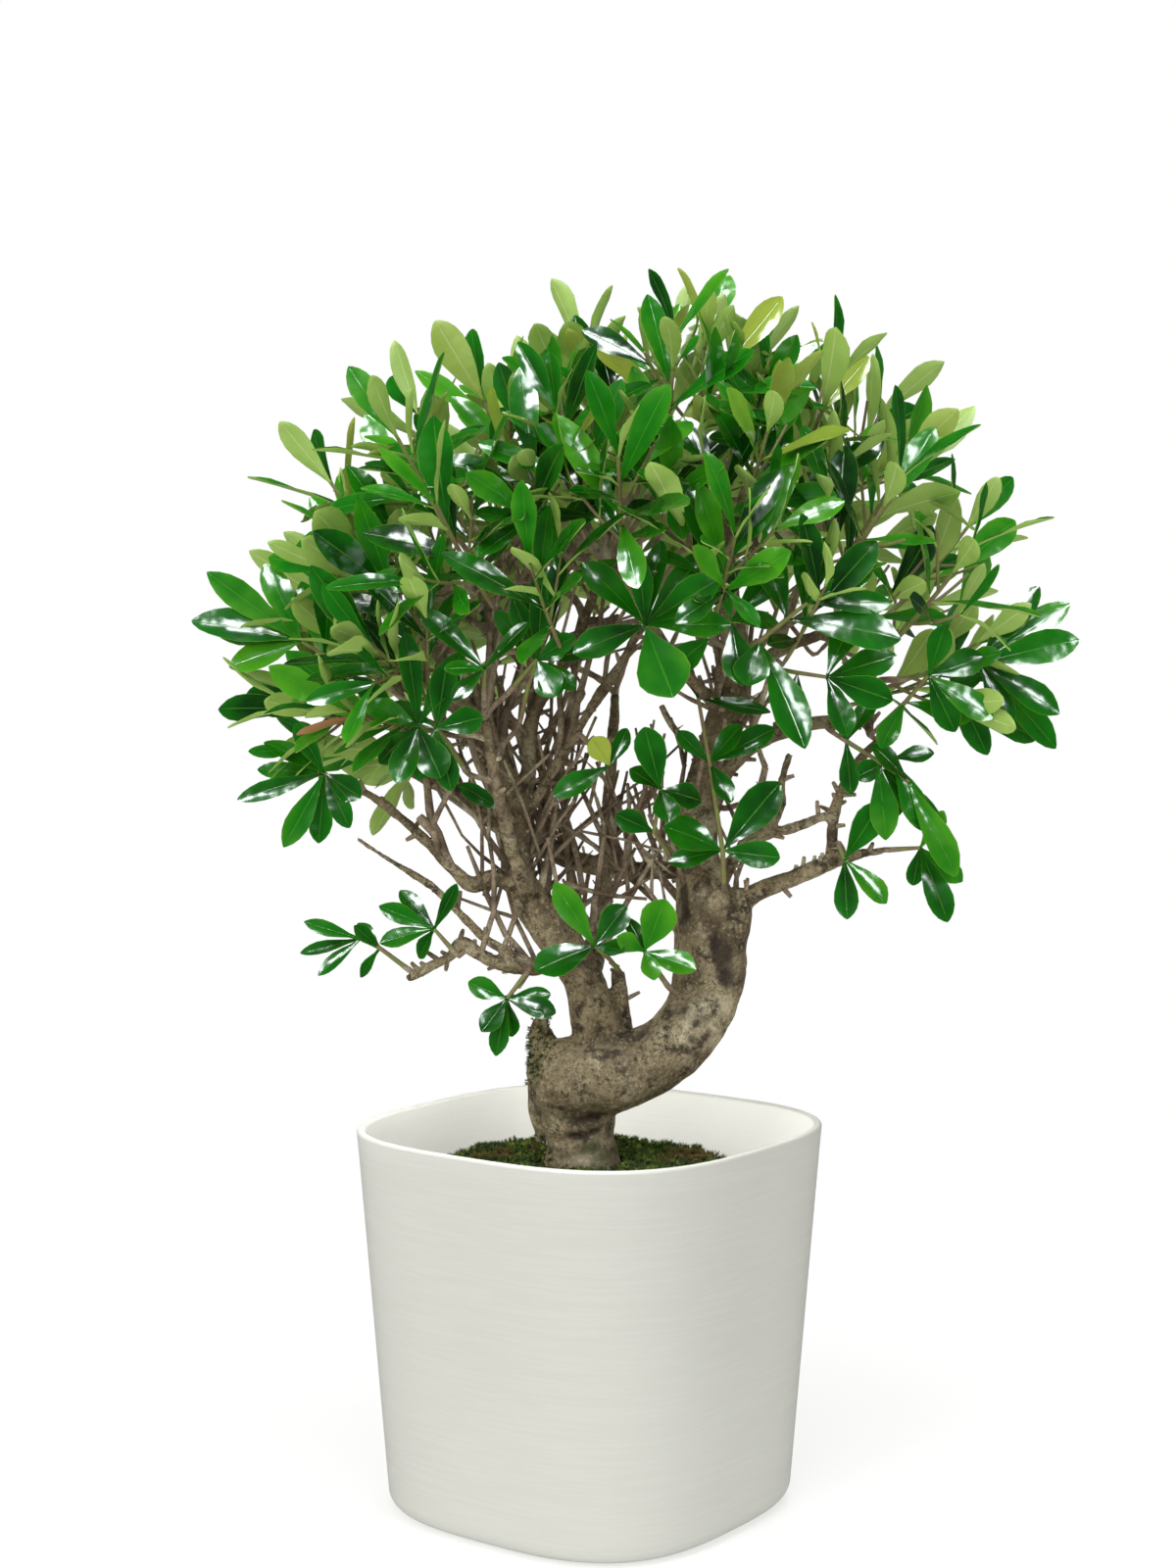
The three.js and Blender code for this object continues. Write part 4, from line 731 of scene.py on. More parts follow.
# each limb's places and radii: x, y, z, radius
limbs = {
    "foot": [
        (-5.5, 0, 126, 18), (-5.5, 0, 150, 21), (-5.5, 0, 172, 22.4), (-5.5, 0, 184, 21),
        (-6, 0, 198, 19.3), (-7, -2, 214, 20.5), (-8, -3, 229, 20),
    ],
    "trunk": [
        (-34, -2, 228, 7), (-27, -2, 228.5, 17.5), (-13, -4, 229.5, 22.4), (5, -8, 231, 21.8),
        (31, -8, 240, 19.2), (46, -6, 250, 18.2), (57, -4, 265, 18.2), (62.5, -1, 282, 19.5),
        (64, 1, 300, 19.7), (63, 2, 316, 19.2), (60, 4, 330, 15), (58, 6, 345, 12.1),
        (57, 7, 363, 10.5), (59, 8, 384, 9.4), (65, 9, 405, 8.9), (72, 10, 426, 8.4),
        (77, 11, 447, 7.9), (76, 12, 468, 7.1), (73, 12, 491, 6.3), (71, 12, 515, 5.2),
        (69, 14, 536, 4.2), (71, 16, 556, 3.1),
    ],
    "shoulder": [
        (66, -3, 286, 13), (72, -6, 306, 12), (77, -7, 322, 9), (79, -8, 333, 4.5),
    ],
    "knot": [
        (62, -8, 316, 9), (67, -16, 325, 6.5), (70, -20, 332, 4),
    ],
    "snag": [
        (-20, 3, 230, 12), (-25, 4, 246, 8.5), (-27, 5, 257, 5.5), (-23, 6, 263, 2),
    ],
    "buttress": [
        (-22, 6, 238, 11), (-25, 7, 215, 9), (-22, 6, 195, 7.5), (-14, 4, 176, 6),
    ],
    "left_limb": [
        (8, -2, 238, 17), (3, 0, 259, 13.8), (-2, 0, 277, 11.4), (-12, -2, 297, 11),
        (-24, -4, 314, 11.4), (-34, -6, 328, 10), (-38, -8, 340, 7.6),
    ],
    "cut_stub": [
        (15, 3, 250, 8.5), (16, 6, 267, 4.9), (15, 8, 280, 4.2), (15, 9, 286, 3.6),
    ],
    "left_arm": [
        (-34, -8, 331, 6), (-50, -12, 338, 4.8), (-61, -14, 335, 4.7), (-68, -15, 339, 3.6),
        (-80, -16, 351, 3.1), (-95, -14, 366, 2.6), (-113, -12, 380, 2.3), (-127, -10, 387, 2),
    ],
    "left_rise": [
        (-36, -8, 333, 7.4), (-38, -8, 351, 5.8), (-37, -6, 368, 5.7), (-41, -4, 385, 5.2),
        (-48, -4, 399, 4.6), (-56, -6, 407, 4.1), (-68, -10, 414, 3.7), (-79, -16, 417, 3),
    ],
    "left_spire": [
        (-41, -2, 387, 4.2), (-49, 0, 403, 3.9), (-54, 2, 421, 3.6), (-55, 4, 439, 3.1),
        (-52, 6, 457, 2.9), (-55, 8, 481, 2.6), (-62, 10, 498, 2.2),
    ],
    "middle_spire": [
        (-37, -4, 366, 4.7), (-33, 2, 392, 4.5), (-33, 6, 410, 4.1), (-30, 8, 426, 3.7),
        (-21, 10, 440, 3.4), (-9, 13, 460, 3.1), (1, 15, 486, 2.7), (8, 16, 506, 2.3),
    ],
    "cross_twig": [
        (-36, -7, 368, 3.4), (-18, -10, 398, 3), (-5, -10, 420, 3), (7, -8, 438, 2.8),
        (19, -7, 457, 2.5), (27, -8, 476, 2.1),
    ],
    "back_arm": [
        (54, 10, 338, 6), (41, 24, 339, 5.4), (20, 34, 338, 5.4), (-7, 38, 342, 5.4),
        (-31, 38, 352, 5.6), (-52, 36, 365, 5.9), (-71, 32, 379, 5.7), (-89, 28, 390, 5),
        (-107, 24, 399, 4.2), (-122, 20, 407, 3),
    ],
    "low_left": [
        (-18, -6, 295, 4.5), (-30, -11, 290, 3.7), (-45, -16, 292, 3.6), (-58, -18, 298, 3.6),
        (-68, -20, 304, 4), (-75, -21, 297, 3), (-85, -20, 292, 2.7), (-97, -18, 285, 2.3),
    ],
    "low_left_twig": [
        (-28, -10, 291, 2.8), (-39, -14, 297, 2.4), (-55, -16, 306, 2.4), (-75, -16, 326, 2.3),
        (-85, -15, 335, 2.3), (-105, -12, 347, 2), (-124, -8, 359, 1.7),
    ],
    "right_low": [
        (72, -6, 318, 7), (80, -7, 325, 6.2), (89, -8, 331, 5.2), (107, -10, 338, 4.8),
        (126, -12, 346, 4), (142, -14, 351, 2.6), (155, -17, 353, 1.9),
    ],
    "right_low_rise": [
        (127, -12, 345, 3.2), (128, -12, 368, 3.1), (131, -12, 382, 3), (140, -12, 398, 2.6),
        (150, -12, 410, 2.2),
    ],
    "right_fork": [
        (64, -1, 335, 4), (85, -10, 358, 3.5), (94, -12, 367, 3.5), (100, -12, 377, 2.8),
        (101, -12, 391, 2.3), (105, -12, 404, 2),
    ],
    "right_fork_twig": [
        (88, -10, 359, 2.6), (107, -12, 365, 2.6), (127, -13, 372, 2.4),
    ],
    "right_arm": [
        (60, 7, 385, 6.5), (72, 0, 396, 5.4), (84, -2, 407, 4.8), (100, -3, 415, 4.4),
        (120, -4, 420, 4.1), (149, -6, 421, 3.4),
    ],
    "right_arm_rise": [
        (148, -6, 412, 2.4), (147, -6, 424, 3.2), (148, -6, 440, 2.8), (150, -6, 454, 2.5),
        (157, -8, 461, 2.1),
    ],
    "right_spire": [
        (75, 10, 442, 4.8), (90, 9, 451, 4.2), (104, 8, 460, 3.7), (121, 8, 466, 3.1),
        (138, 9, 474, 2.4),
    ],
    "back_left": [
        (-22, -2, 312, 6), (-36, 18, 330, 5.5), (-46, 42, 352, 5), (-54, 64, 378, 4.3),
        (-60, 82, 406, 3.4), (-62, 92, 430, 2.6),
    ],
    "back_right": [
        (58, 8, 352, 6), (66, 30, 372, 5.2), (76, 56, 396, 4.5), (84, 76, 422, 3.6), (90, 90, 446, 2.6),
    ],
    "back_middle": [
        (-2, 2, 276, 5.5), (4, 26, 300, 5), (8, 48, 332, 4.6), (10, 68, 368, 4), (12, 84, 404, 3.2),
        (14, 94, 432, 2.4),
    ],
    "front_right": [
        (70, 9, 424, 4.2), (62, -18, 434, 3.6), (50, -44, 446, 3), (40, -66, 459, 2.3),
    ],
    "front_far": [
        (72, 10, 440, 3.6), (66, -20, 446, 3), (66, -46, 450, 2.6), (73, -68, 456, 2),
    ],
    "front_left": [
        (-30, -6, 322, 5), (-38, -26, 346, 4.2), (-45, -42, 374, 3.6), (-50, -54, 402, 3),
        (-54, -60, 424, 2.3),
    ],
}

branch = {"step": 36, "tipRadius": 1.5, "thickening": 0.011, "hold": 4, "nearest": 7, "lowest": 238}

bark = {
    "voxel": 1.3,
    "lump": 0.9,  # millimetres of swelling at each scale
    "ripple": 0.5,
    "crumble": 0.22,
    "softening": 5,
    "footTop": 212,  # ridges run round the trunk's foot below this height
    "footX": -6,
    "footReach": 34,
    "marksBelow": 345,
    "tones": ((46, 36, 24), (119, 104, 76), (162, 147, 114), (206, 196, 164)),
    "limbTone": (96, 79, 60),  # the limbs are browner than the trunk
    "limbHeights": (0.315, 0.39),  # metres, where the limbs' tone starts and is full
    "dampTone": (74, 82, 38),
    "dampHeights": (0.186, 0.25),
    "stubs": 260,
    "stubsAbove": 262,
    "stubRadii": (2.2, 12),  # of the wood that bears them
    "spurShare": 0.13,
    "twigSides": 8,
    "knobbliness": 0.0006,  # metres
    "lowTwigBend": 9,
    # bare twigs in the low gap between the two stems: start, end, radius at the start
    "lowTwigs": [
        ((-2, 10, 300), (24, 14, 352), 2.3), ((7, 10, 297), (40, 10, 356), 2.0),
        ((50, 8, 322), (12, 16, 376), 2.5), ((48, 12, 312), (-6, 18, 360), 1.8),
        ((-9, 14, 318), (34, 20, 340), 1.6), ((0, 4, 308), (9, 8, 382), 2.3),
        ((18, 8, 345), (36, 12, 404), 1.7), ((30, 14, 345), (3, 20, 398), 1.7),
        ((-14, 2, 334), (30, 8, 325), 1.5), ((50, 4, 300), (28, 2, 334), 1.7),
        ((52, 6, 334), (24, 12, 410), 2.0), ((-4, 20, 326), (-22, 24, 392), 1.9),
        ((12, 18, 345), (-14, 22, 402), 1.8), ((40, 10, 345), (52, 16, 410), 1.9),
    ],
    "twigTones": ((62, 49, 38), (120, 102, 82), (162, 144, 120)),
    # dents and swellings on the front of the trunk, with painted shade in the dents and a painted highlight
    # on the swellings: x, z, half width, half height, depth, darkness (below 0, lightness)
    "marks": [
        (47.5, 329.5, 4.5, 7, 2.4, 0.9), (48, 319.5, 4, 6, 2.2, 0.9), (66, 324, 5, 6, -2.6, -0.15),
        (63.5, 315, 6, 4, -1.6, 0), (71, 298, 6.5, 11, 2.4, 0.85), (72.5, 284, 5, 6, 2.6, 0.9),
        (61, 264.5, 6, 4, 1.2, 0.5), (55.5, 262, 2, 2, 1.6, 0.8), (66, 268, 2.2, 2.5, 1.6, 0.8),
        (54, 253.5, 4, 3, 1.4, 0.7), (46, 268, 9, 6, 0.9, 0.5), (12, 247, 10, 6, 0.4, 0.35),
        (56.5, 245.5, 3, 2.6, 1.3, 0.6), (27, 258, 7, 5, 1.4, 0.8), (-3, 210, 13, 3.4, 2.6, 0.75),
        (-8, 201, 4.5, 2.2, 2.4, 1), (2, 203.5, 5, 2, 2, 0.9), (-30, 240, 5, 5, 0.6, 0.6),
        (66, 305, 2.5, 10, 1.8, 0.6), (60, 330, 6, 8, -0.6, -0.35), (71, 272, 5, 9, -0.5, -0.7),
        (67, 252, 5, 6, -0.4, -0.6), (-2, 277, 7, 5, 0.8, 0.4), (-2, 190, 14, 5, -0.6, -0.5),
    ],
}


def throughPoints(places, share):
    # a smooth curve through all the places
    last = len(places) - 1
    at = min(max(share, 0), 1) * last
    index = min(int(at), last - 1)
    part = at - index
    p1, p2 = places[index], places[index + 1]
    p0 = places[index - 1] if index > 0 else p1 * 2 - p2
    p3 = places[index + 2] if index + 2 <= last else p2 * 2 - p1
    t0, t1 = (p2 - p0) * 0.5, (p3 - p1) * 0.5
    squared = (p2 * 3 - p1 * 3 - t0 * 2 - t1) * part ** 2
    cubed = (p1 * 2 - p2 * 2 + t0 + t1) * part ** 3
    return p1 + t0 * part + squared + cubed


def tangentOf(curve, share):
    return (curve(min(share + 0.002, 1)) - curve(max(share - 0.002, 0))).normalized()


def tube(places, radii, sides):
    # corners and faces of a closed round tube, in the units of its places
    last = len(places) - 1
    across = None
    corners = []
    for i, place in enumerate(places):
        tangent = (places[min(i + 1, last)] - places[max(i - 1, 0)]).normalized()
        across = squareTo(tangent, across or (Vector((1, 0, 0)) if abs(tangent.z) > 0.9 else up))
        other = tangent.cross(across)
        for k in range(sides):
            around = 2 * math.pi * k / sides
            corners.append(place + (across * math.cos(around) + other * math.sin(around)) * radii[i])
    ends = [tuple(range(sides - 1, -1, -1)), tuple(range(last * sides, (last + 1) * sides))]
    return corners, bands(last + 1, sides) + ends


skeleton = []  # where a branch may start: its place, heading and radius
strands = []  # every thin branch and twig: places, radii


def addLimbs():
    # each limb as a smooth tube; branches may start along it
    shapes = []
    for line in limbs.values():
        places = [Vector(row[:3]) for row in line]
        radii = [row[3] for row in line]

        def curve(share):
            return throughPoints(places, share)

        halves = 2 * (len(line) - 1)
        for i in range(halves + 1):
            skeleton.append({"at": curve(i / halves), "heading": tangentOf(curve, i / halves),
                             "radius": (radii[i // 2] + radii[(i + 1) // 2]) / 2})
        count = 6 * (len(line) - 1)
        fine = [curve(i / count) for i in range(count + 1)]
        widths = [throughPoints([Vector((r, 0, 0)) for r in radii], i / count).x for i in range(count + 1)]
        shapes.append(tube(fine, widths, 16))
    return shapes


def branchCost(knot, target):
    # short ways that leave and arrive without a sharp turn cost least
    away = target["base"] - knot["at"]
    distance = away.length
    tooThin = knot["radius"] < branch["tipRadius"]
    if distance < branch["nearest"] or tooThin or knot["at"].z < branch["lowest"]:
        return math.inf
    leaving = 1 - away.dot(knot["heading"]) / distance
    arriving = 1 - away.dot(target["heading"]) / distance
    return distance * (1 + 0.5 * leaving + 0.45 * arriving)


def growBranch(knot, target, tipRadius, bend, settle, thickening):
    # bend is how far it leaves along its parent, settle how far it ends along its own heading
    draw = seededDraw(target["seed"])
    away = target["base"] - knot["at"]
    distance = away.length
    onward = away.normalized()
    heading = (target["heading"] * settle + onward * (1 - settle)).normalized()
    reach = distance / 3
    leaving = (knot["heading"] * bend + onward * (1 - bend)).normalized()
    hold = target["base"] - heading * min(branch["hold"], distance / 3)
    p0, p1, p2, p3 = knot["at"], knot["at"] + leaving * reach, hold - heading * reach, hold

    def curve(share):
        rest = 1 - share
        return p0 * rest ** 3 + p1 * (3 * rest ** 2 * share) + p2 * (3 * rest * share ** 2) + p3 * share ** 3

    steps = max(1, math.floor(distance / branch["step"] + 0.5))
    thickest = min(knot["radius"] * 0.8, tipRadius + distance * thickening)
    wobbles, centres, radii = [], [], []
    for i in range(steps + 1):
        wobble = distance * 0.05 if 0 < i < steps else 0
        wobbles.append(Vector([wobble * (draw() - 0.5) for _ in range(3)]))
        centres.append(curve(i / steps) + wobbles[-1])
        radii.append(thickest + (tipRadius - thickest) * (i / steps))
    for i in range(1, steps):
        onward = (centres[i] - centres[i - 1]).normalized()
        skeleton.append({"at": centres[i], "heading": onward, "radius": radii[i]})
    count = max(4, round(distance / 4))
    places, widths = [], []
    for i in range(count + 1):
        share = i / count
        at = share * steps
        index = min(int(at), steps - 1)
        aside = wobbles[index].lerp(wobbles[index + 1], at - index)
        places.append(curve(share) + aside)
        widths.append(thickest + (tipRadius - thickest) * share)
    places.append(target["base"] + heading * 1.5)
    widths.append(tipRadius * 0.9)
    strands.append((places, widths))


def growBranches(targets, tipRadius, bend=0.45, settle=1.0, thickening=branch["thickening"]):
    # the cheapest branch grows first, and later ones may start on it
    waiting = [{"target": target, "cost": math.inf, "knot": None, "seen": 0} for target in targets]
    while waiting:
        for entry in waiting:
            for knot in skeleton[entry["seen"]:]:
                cost = branchCost(knot, entry["target"])
                if cost < entry["cost"]:
                    entry["cost"], entry["knot"] = cost, knot
            entry["seen"] = len(skeleton)
        waiting.sort(key=lambda entry: -entry["cost"])
        entry = waiting.pop()
        growBranch(entry["knot"], entry["target"], tipRadius, bend, settle, thickening)


def barkFinish(name, tones, coarse, mottle):
    # the finish with its tone and relief, which are not fed yet; coarse scales its grain
    finish = Finish(name, 0.82, Specular_IOR_Level=0.25)
    dark, middle, light, pale = (paint(*tone) for tone in tones)
    cloud = finish.grain(0.026 * coarse, detail=4, roughness=0.6)
    blotch = finish.grain(0.009 * coarse, detail=5, roughness=0.65, shift=2.0)
    speck = finish.grain(0.0021 * coarse, detail=4, roughness=0.7, shift=5.0)
    bleach = finish.grain(0.034 * coarse, detail=5, roughness=0.6, shift=9.0)
    pits = finish.grain(0.0011 * coarse, detail=2, shift=14.0)
    wander = finish.grain(0.011 * coarse, detail=4, roughness=0.7, distortion=1.6, shift=17.0)
    cracks = (1 - (wander - 0.5).worked("ABSOLUTE").above(0.004, 0.02)) * cloud.above(0.5, 0.6)
    tone = finish.layered(
        middle,
        (cloud.above(0.38, 0.62), light),
        ((1 - cloud.above(0.34, 0.5)) * 0.4, dark),
        (bleach.above(0.54, 0.68) * 0.8, pale),
        (blotch.above(0.5, 0.64) * (0.85 * mottle), dark),
        (cracks * (0.35 * mottle), dark),
        (speck.above(0.52, 0.66) * (0.6 * mottle), dark),
        (pits.above(0.54, 0.68) * 0.5, dark),
        ((1 - speck.above(0.32, 0.46)) * (0.42 * mottle), pale))
    relief = speck * 0.35 + blotch * 0.4 + pits * 0.1 - cracks * 0.35
    return finish, tone, relief


def makeTrunk(shapes):
    # the limbs become one skin, which is then roughened and marked with dents and swellings, painted shade in
    # the dents and troughs and painted highlights on the swellings
    places, faces = [], []
    for corners, sides in shapes:
        first = len(places)
        places += [corner * mm for corner in corners]
        faces += [tuple(first + i for i in face) for face in sides]
    trunk = pieceOf("trunkAndLimbs", places, faces)
    remesh = trunk.modifiers.new("joined", "REMESH")
    remesh.mode = "VOXEL"
    remesh.voxel_size = bark["voxel"] * mm
    remesh.use_smooth_shade = True
    soften = trunk.modifiers.new("softened", "SMOOTH")
    soften.iterations = bark["softening"]
    settled(trunk)
    mesh = trunk.data
    count = len(mesh.vertices)
    placed, facing = np.empty((count, 3)), np.empty((count, 3))
    mesh.vertices.foreach_get("co", placed.ravel())
    mesh.vertex_normals.foreach_get("vector", facing.ravel())
    placed /= mm
    hollows = np.zeros(count)
    moved = placed.copy()
    for i in range(count):
        place = Vector(placed[i])
        normal = Vector(facing[i])
        rise = bark["lump"] * rough(place, 17) + bark["ripple"] * rough(place, 6.5, 3)
        rise += bark["crumble"] * rough(place, 2.6, 7)
        below = bark["footTop"] - place.z
        if below > 0 and abs(place.x - bark["footX"]) < bark["footReach"]:
            rise += 0.5 * math.sin(place.z / 1.7 + 3 * rough(place, 12, 5)) * min(1, below / 14)
        # each mark dents the skin and paints shade into the dent, or swells it and paints a highlight on it;
        # the ripple's troughs get painted shade too
        shade = 0
        if place.z < bark["marksBelow"] and normal.y < -0.1:
            for x, z, wide, high, depth, dark in bark["marks"]:
                away = ((place.x - x) / wide) ** 2 + ((place.z - z) / high) ** 2
                if away < 6:
                    near = math.exp(-away) * min(1, -normal.y * 1.6)
                    rise -= depth * near
                    shade += dark * near
        hollows[i] = shade + max(0, -0.7 * rough(place, 6.5, 3) - 0.25)
        moved[i] += facing[i] * rise
    mesh.vertices.foreach_set("co", (moved * mm).ravel())
    addMarks(mesh, "FLOAT", "POINT", hollow=hollows)
    mesh.update()
    finish, tone, relief = barkFinish("trunkBark", bark["tones"], 1, 1)
    hollow = finish.mark("hollow")
    height = finish.height(finish.place)
    damp = finish.grain(0.012, detail=4, shift=12.0).above(0.5, 0.62)
    damp = (1 - height.above(*bark["dampHeights"])) * damp
    finish.feed("Base Color", finish.layered(
        tone,
        # painted shade in the dents and troughs, and a painted highlight on the swellings
        (hollow.above(0.1, 0.8) * 0.85, paint(*bark["tones"][0])),
        ((0 - hollow).above(0.1, 0.7) * 0.6, paint(*bark["tones"][3])),
        (height.above(*bark["limbHeights"]) * 0.42, paint(*bark["limbTone"])),
        (damp * 0.6, paint(*bark["dampTone"]))))
    finish.emboss(relief, 0.0028, 1.0)
    mesh.materials.append(finish.material)
    hand(trunk, "bark", "tree")
    print("trunk ready,", len(mesh.polygons), "faces")
    return trunk


def twigTree():
    # an uneven rod along each line
    board, wires = geometryBoard("twigs", {"Sides": "Int", "Knobbliness": "Float", "Finish": "Material"})
    body = board.rods(wires["Geometry"], wires["Sides"], board.named("thickness"))
    bump = board.add("ShaderNodeTexNoise", {}, {"Scale": 260.0, "Detail": 2.0})
    normal = board.add("GeometryNodeInputNormal")
    moved = board.add("GeometryNodeSetPosition", {}, {
        "Geometry": body, "Offset": normal.times((bump - 0.5) * wires["Knobbliness"])})
    return board.ended(board.closed(moved, wires["Finish"]))


def linked(lines):
    # loose edges through each line's places, with its thickness at each
    places, edges, thickness = [], [], []
    for line, radii in lines:
        first = len(places)
        places += [place * mm for place in line]
        edges += [(first + i, first + i + 1) for i in range(len(line) - 1)]
        thickness += [radius * mm for radius in radii]
    return places, edges, thickness


def knuckled(line, radii, start):
    # the line with slight kinks and swollen nodes, as old twigs have
    travelled, places, widths = start, [line[0]], [radii[0]]
    for i in range(1, len(line)):
        travelled += (line[i] - line[i - 1]).length
        swell = max(0, math.cos(travelled * 2 * math.pi / 13)) ** 6
        aside = Vector([rough(line[i], 16, seed) for seed in (1, 2, 3)]) * min(0.9, radii[i] * 0.4)
        places.append(line[i] + aside * (1 if i < len(line) - 2 else 0))
        widths.append(radii[i] * (1 + 0.22 * swell + 0.14 * rough(line[i], 7, 6)))
    return places, widths


def stick(start, way, long):
    # four places along a short straight twig
    return [start + way * long * k / 3 for k in range(4)]


def stubLines():
    # short dead stubs on the limbs and the thicker branches
    thinnest, thickest = bark["stubRadii"]
    knots = [knot for knot in skeleton if thinnest < knot["radius"] < thickest
             and knot["at"].z > bark["stubsAbove"]]
    lines = []
    for i in range(bark["stubs"]):
        draw = seededDraw(seeds["stubs"] + i)
        knot = knots[int(draw() * len(knots))]
        start = knot["at"] + knot["heading"] * (16 * (draw() - 0.5))
        side = squareTo(knot["heading"], anyWay(draw, (0.5, 0.5, 0.35)))
        way = (side + knot["heading"] * (0.2 + 0.6 * draw())).normalized()
        long = knot["radius"] + 2 + 7 * draw() ** 2
        lines.append((stick(start, way, long), [1.5, 1.4, 1.25, 1.0]))
    return lines


def makeTwigs():
    lines = stubLines()
    for number, (line, radii) in enumerate(strands):
        places, widths = knuckled(line, radii, seededDraw(seeds["knuckles"] + number)() * 10)
        lines.append((places, widths))
        draw = seededDraw(seeds["spurs"] + number)
        for i in range(2, len(places) - 2):
            if draw() < bark["spurShare"]:
                tangent = (places[i + 1] - places[i - 1]).normalized()
                aside = squareTo(tangent, anyWay(draw, (0.5, 0.5, 0.3)))
                long = 2 + 14 * draw() ** 3
                spur = stick(places[i], (aside + tangent * 0.5).normalized(), long)
                lines.append((spur, [min(widths[i] * 0.7, 1.2) * (1 - 0.25 * k) for k in range(4)]))
    finish, tone, relief = barkFinish("twigBark", (*bark["twigTones"], bark["tones"][3]), 0.8, 0.5)
    finish.feed("Base Color", tone)
    finish.emboss(relief, 0.0012, 0.9)
    tree = twigTree()
    half = len(lines) // 2
    for name, part in (("twigsOne", lines[:half]), ("twigsTwo", lines[half:])):
        places, edges, thickness = linked(part)
        twigs = pieceOf(name, places, [], edges=edges)
        addMarks(twigs.data, "FLOAT", "POINT", thickness=thickness)
        grown(twigs, tree, {
            "Sides": bark["twigSides"], "Knobbliness": bark["knobbliness"], "Finish": finish.material})
        hand(twigs, "bark", "tree")
        print(name, "ready,", len(twigs.data.polygons), "faces")


# The sprays: green shoots and their leathery leaves

crown = {
    "centre": (32, 5, 457),
    "reach": (232, 184, 198),
    "shell": 92,
    "rows": 48,
    "lowestFront": 0.08,
    "lowestLeft": -0.72,
    "lowestRight": -0.4,
    "lift": 0.8,
    "fillRows": 70,
    "fillLength": 46,
    "fillApart": 20,  # a filling shoot keeps this far from the main ones
    "middleCentre": (-2, 24, 440),  # the open middle, an oval
    "middleReach": (98, 48, 170),
    "leastOutline": 0.92,  # the share of the outline's reach that an uneven edge has at least
    "outlineSpan": 0.14,
    # where fewer added leaves are kept: x, z, radius, share kept
    "airy": ((195, 468, 85, 0.3), (185, 575, 50, 0.25), (34, 606, 28, 0.4), (-90, 608, 45, 0.15),
             (-160, 565, 30, 0.2), (-90, 420, 32, 0.4)),
    # how far added leaves may reach from the middle: height, to the left, to the right
    "outline": ((400, 222, 203), (440, 237, 208), (480, 227, 203), (510, 217, 193), (540, 197, 173),
                (570, 172, 153), (590, 142, 133), (610, 112, 118), (630, 87, 93), (656, 42, 68)),
}

shoot = {
    "length": 58,
    "sideLength": 36,
    "sideAngle": 0.85,
    "twigLength": 30,
    "baseRadius": 1.5,
    "tipRadius": 1.1,
    "frontRadius": 1.3,
    "forkShare": 0.26,
    "lift": 0.16,
    "sway": 6,
    "tries": 12,
    "twigTries": 5,
}

leaf = {
    "length": 50,
    "slimness": 0.305,
    "broader": 1.2,  # the placed leaves, against the model's
    "keel": 0.55,
    "fullness": 1.65,  # 1 is widest halfway, more is widest nearer the tip
    "tries": 6,
    "moreTries": 4,  # of the leaves that the model doesn't have
    "thickness": 0.55,
    "stations": (0.0, 0.06, 0.2, 0.36, 0.54, 0.7, 0.82, 0.91, 0.975),
    "columns": (-0.55, 0, 0.55),  # between the two edges, at -1 and 1
    "petiole": 0.9,  # half width at the foot, millimetres
    "topTones": ((3, 48, 4), (20, 114, 9), (84, 164, 28)),
    # the undersides' own pale colour, made lighter still as painted light for light through the leaf
    "underToneAndPaintedLight": (170, 204, 98),
    "underCloud": (140, 182, 70),
    "ribTone": (214, 222, 156),
    "youngTone": (178, 192, 74),
    "dryTone": (150, 104, 52),
    "edgeTone": (140, 176, 60),
    "shootTones": ((122, 132, 66), (128, 108, 78)),
    "roughness": 0.17,
    "waviness": 0.12,
    "leastPlacedTone": 0.3,  # from 0, dark, to 1
    "youngAbove": 560,
    "youngDepth": 80,
    "youngShare": 0.12,
    # the palest young leaves, and the one dry leaf: x and z of their middles
    "youngSpots": ((50, 647), (95, 637), (116, 632), (-2, 616), (-30, 580), (-131, 559), (4, 405)),
    "drySpot": (-137, 424),
}

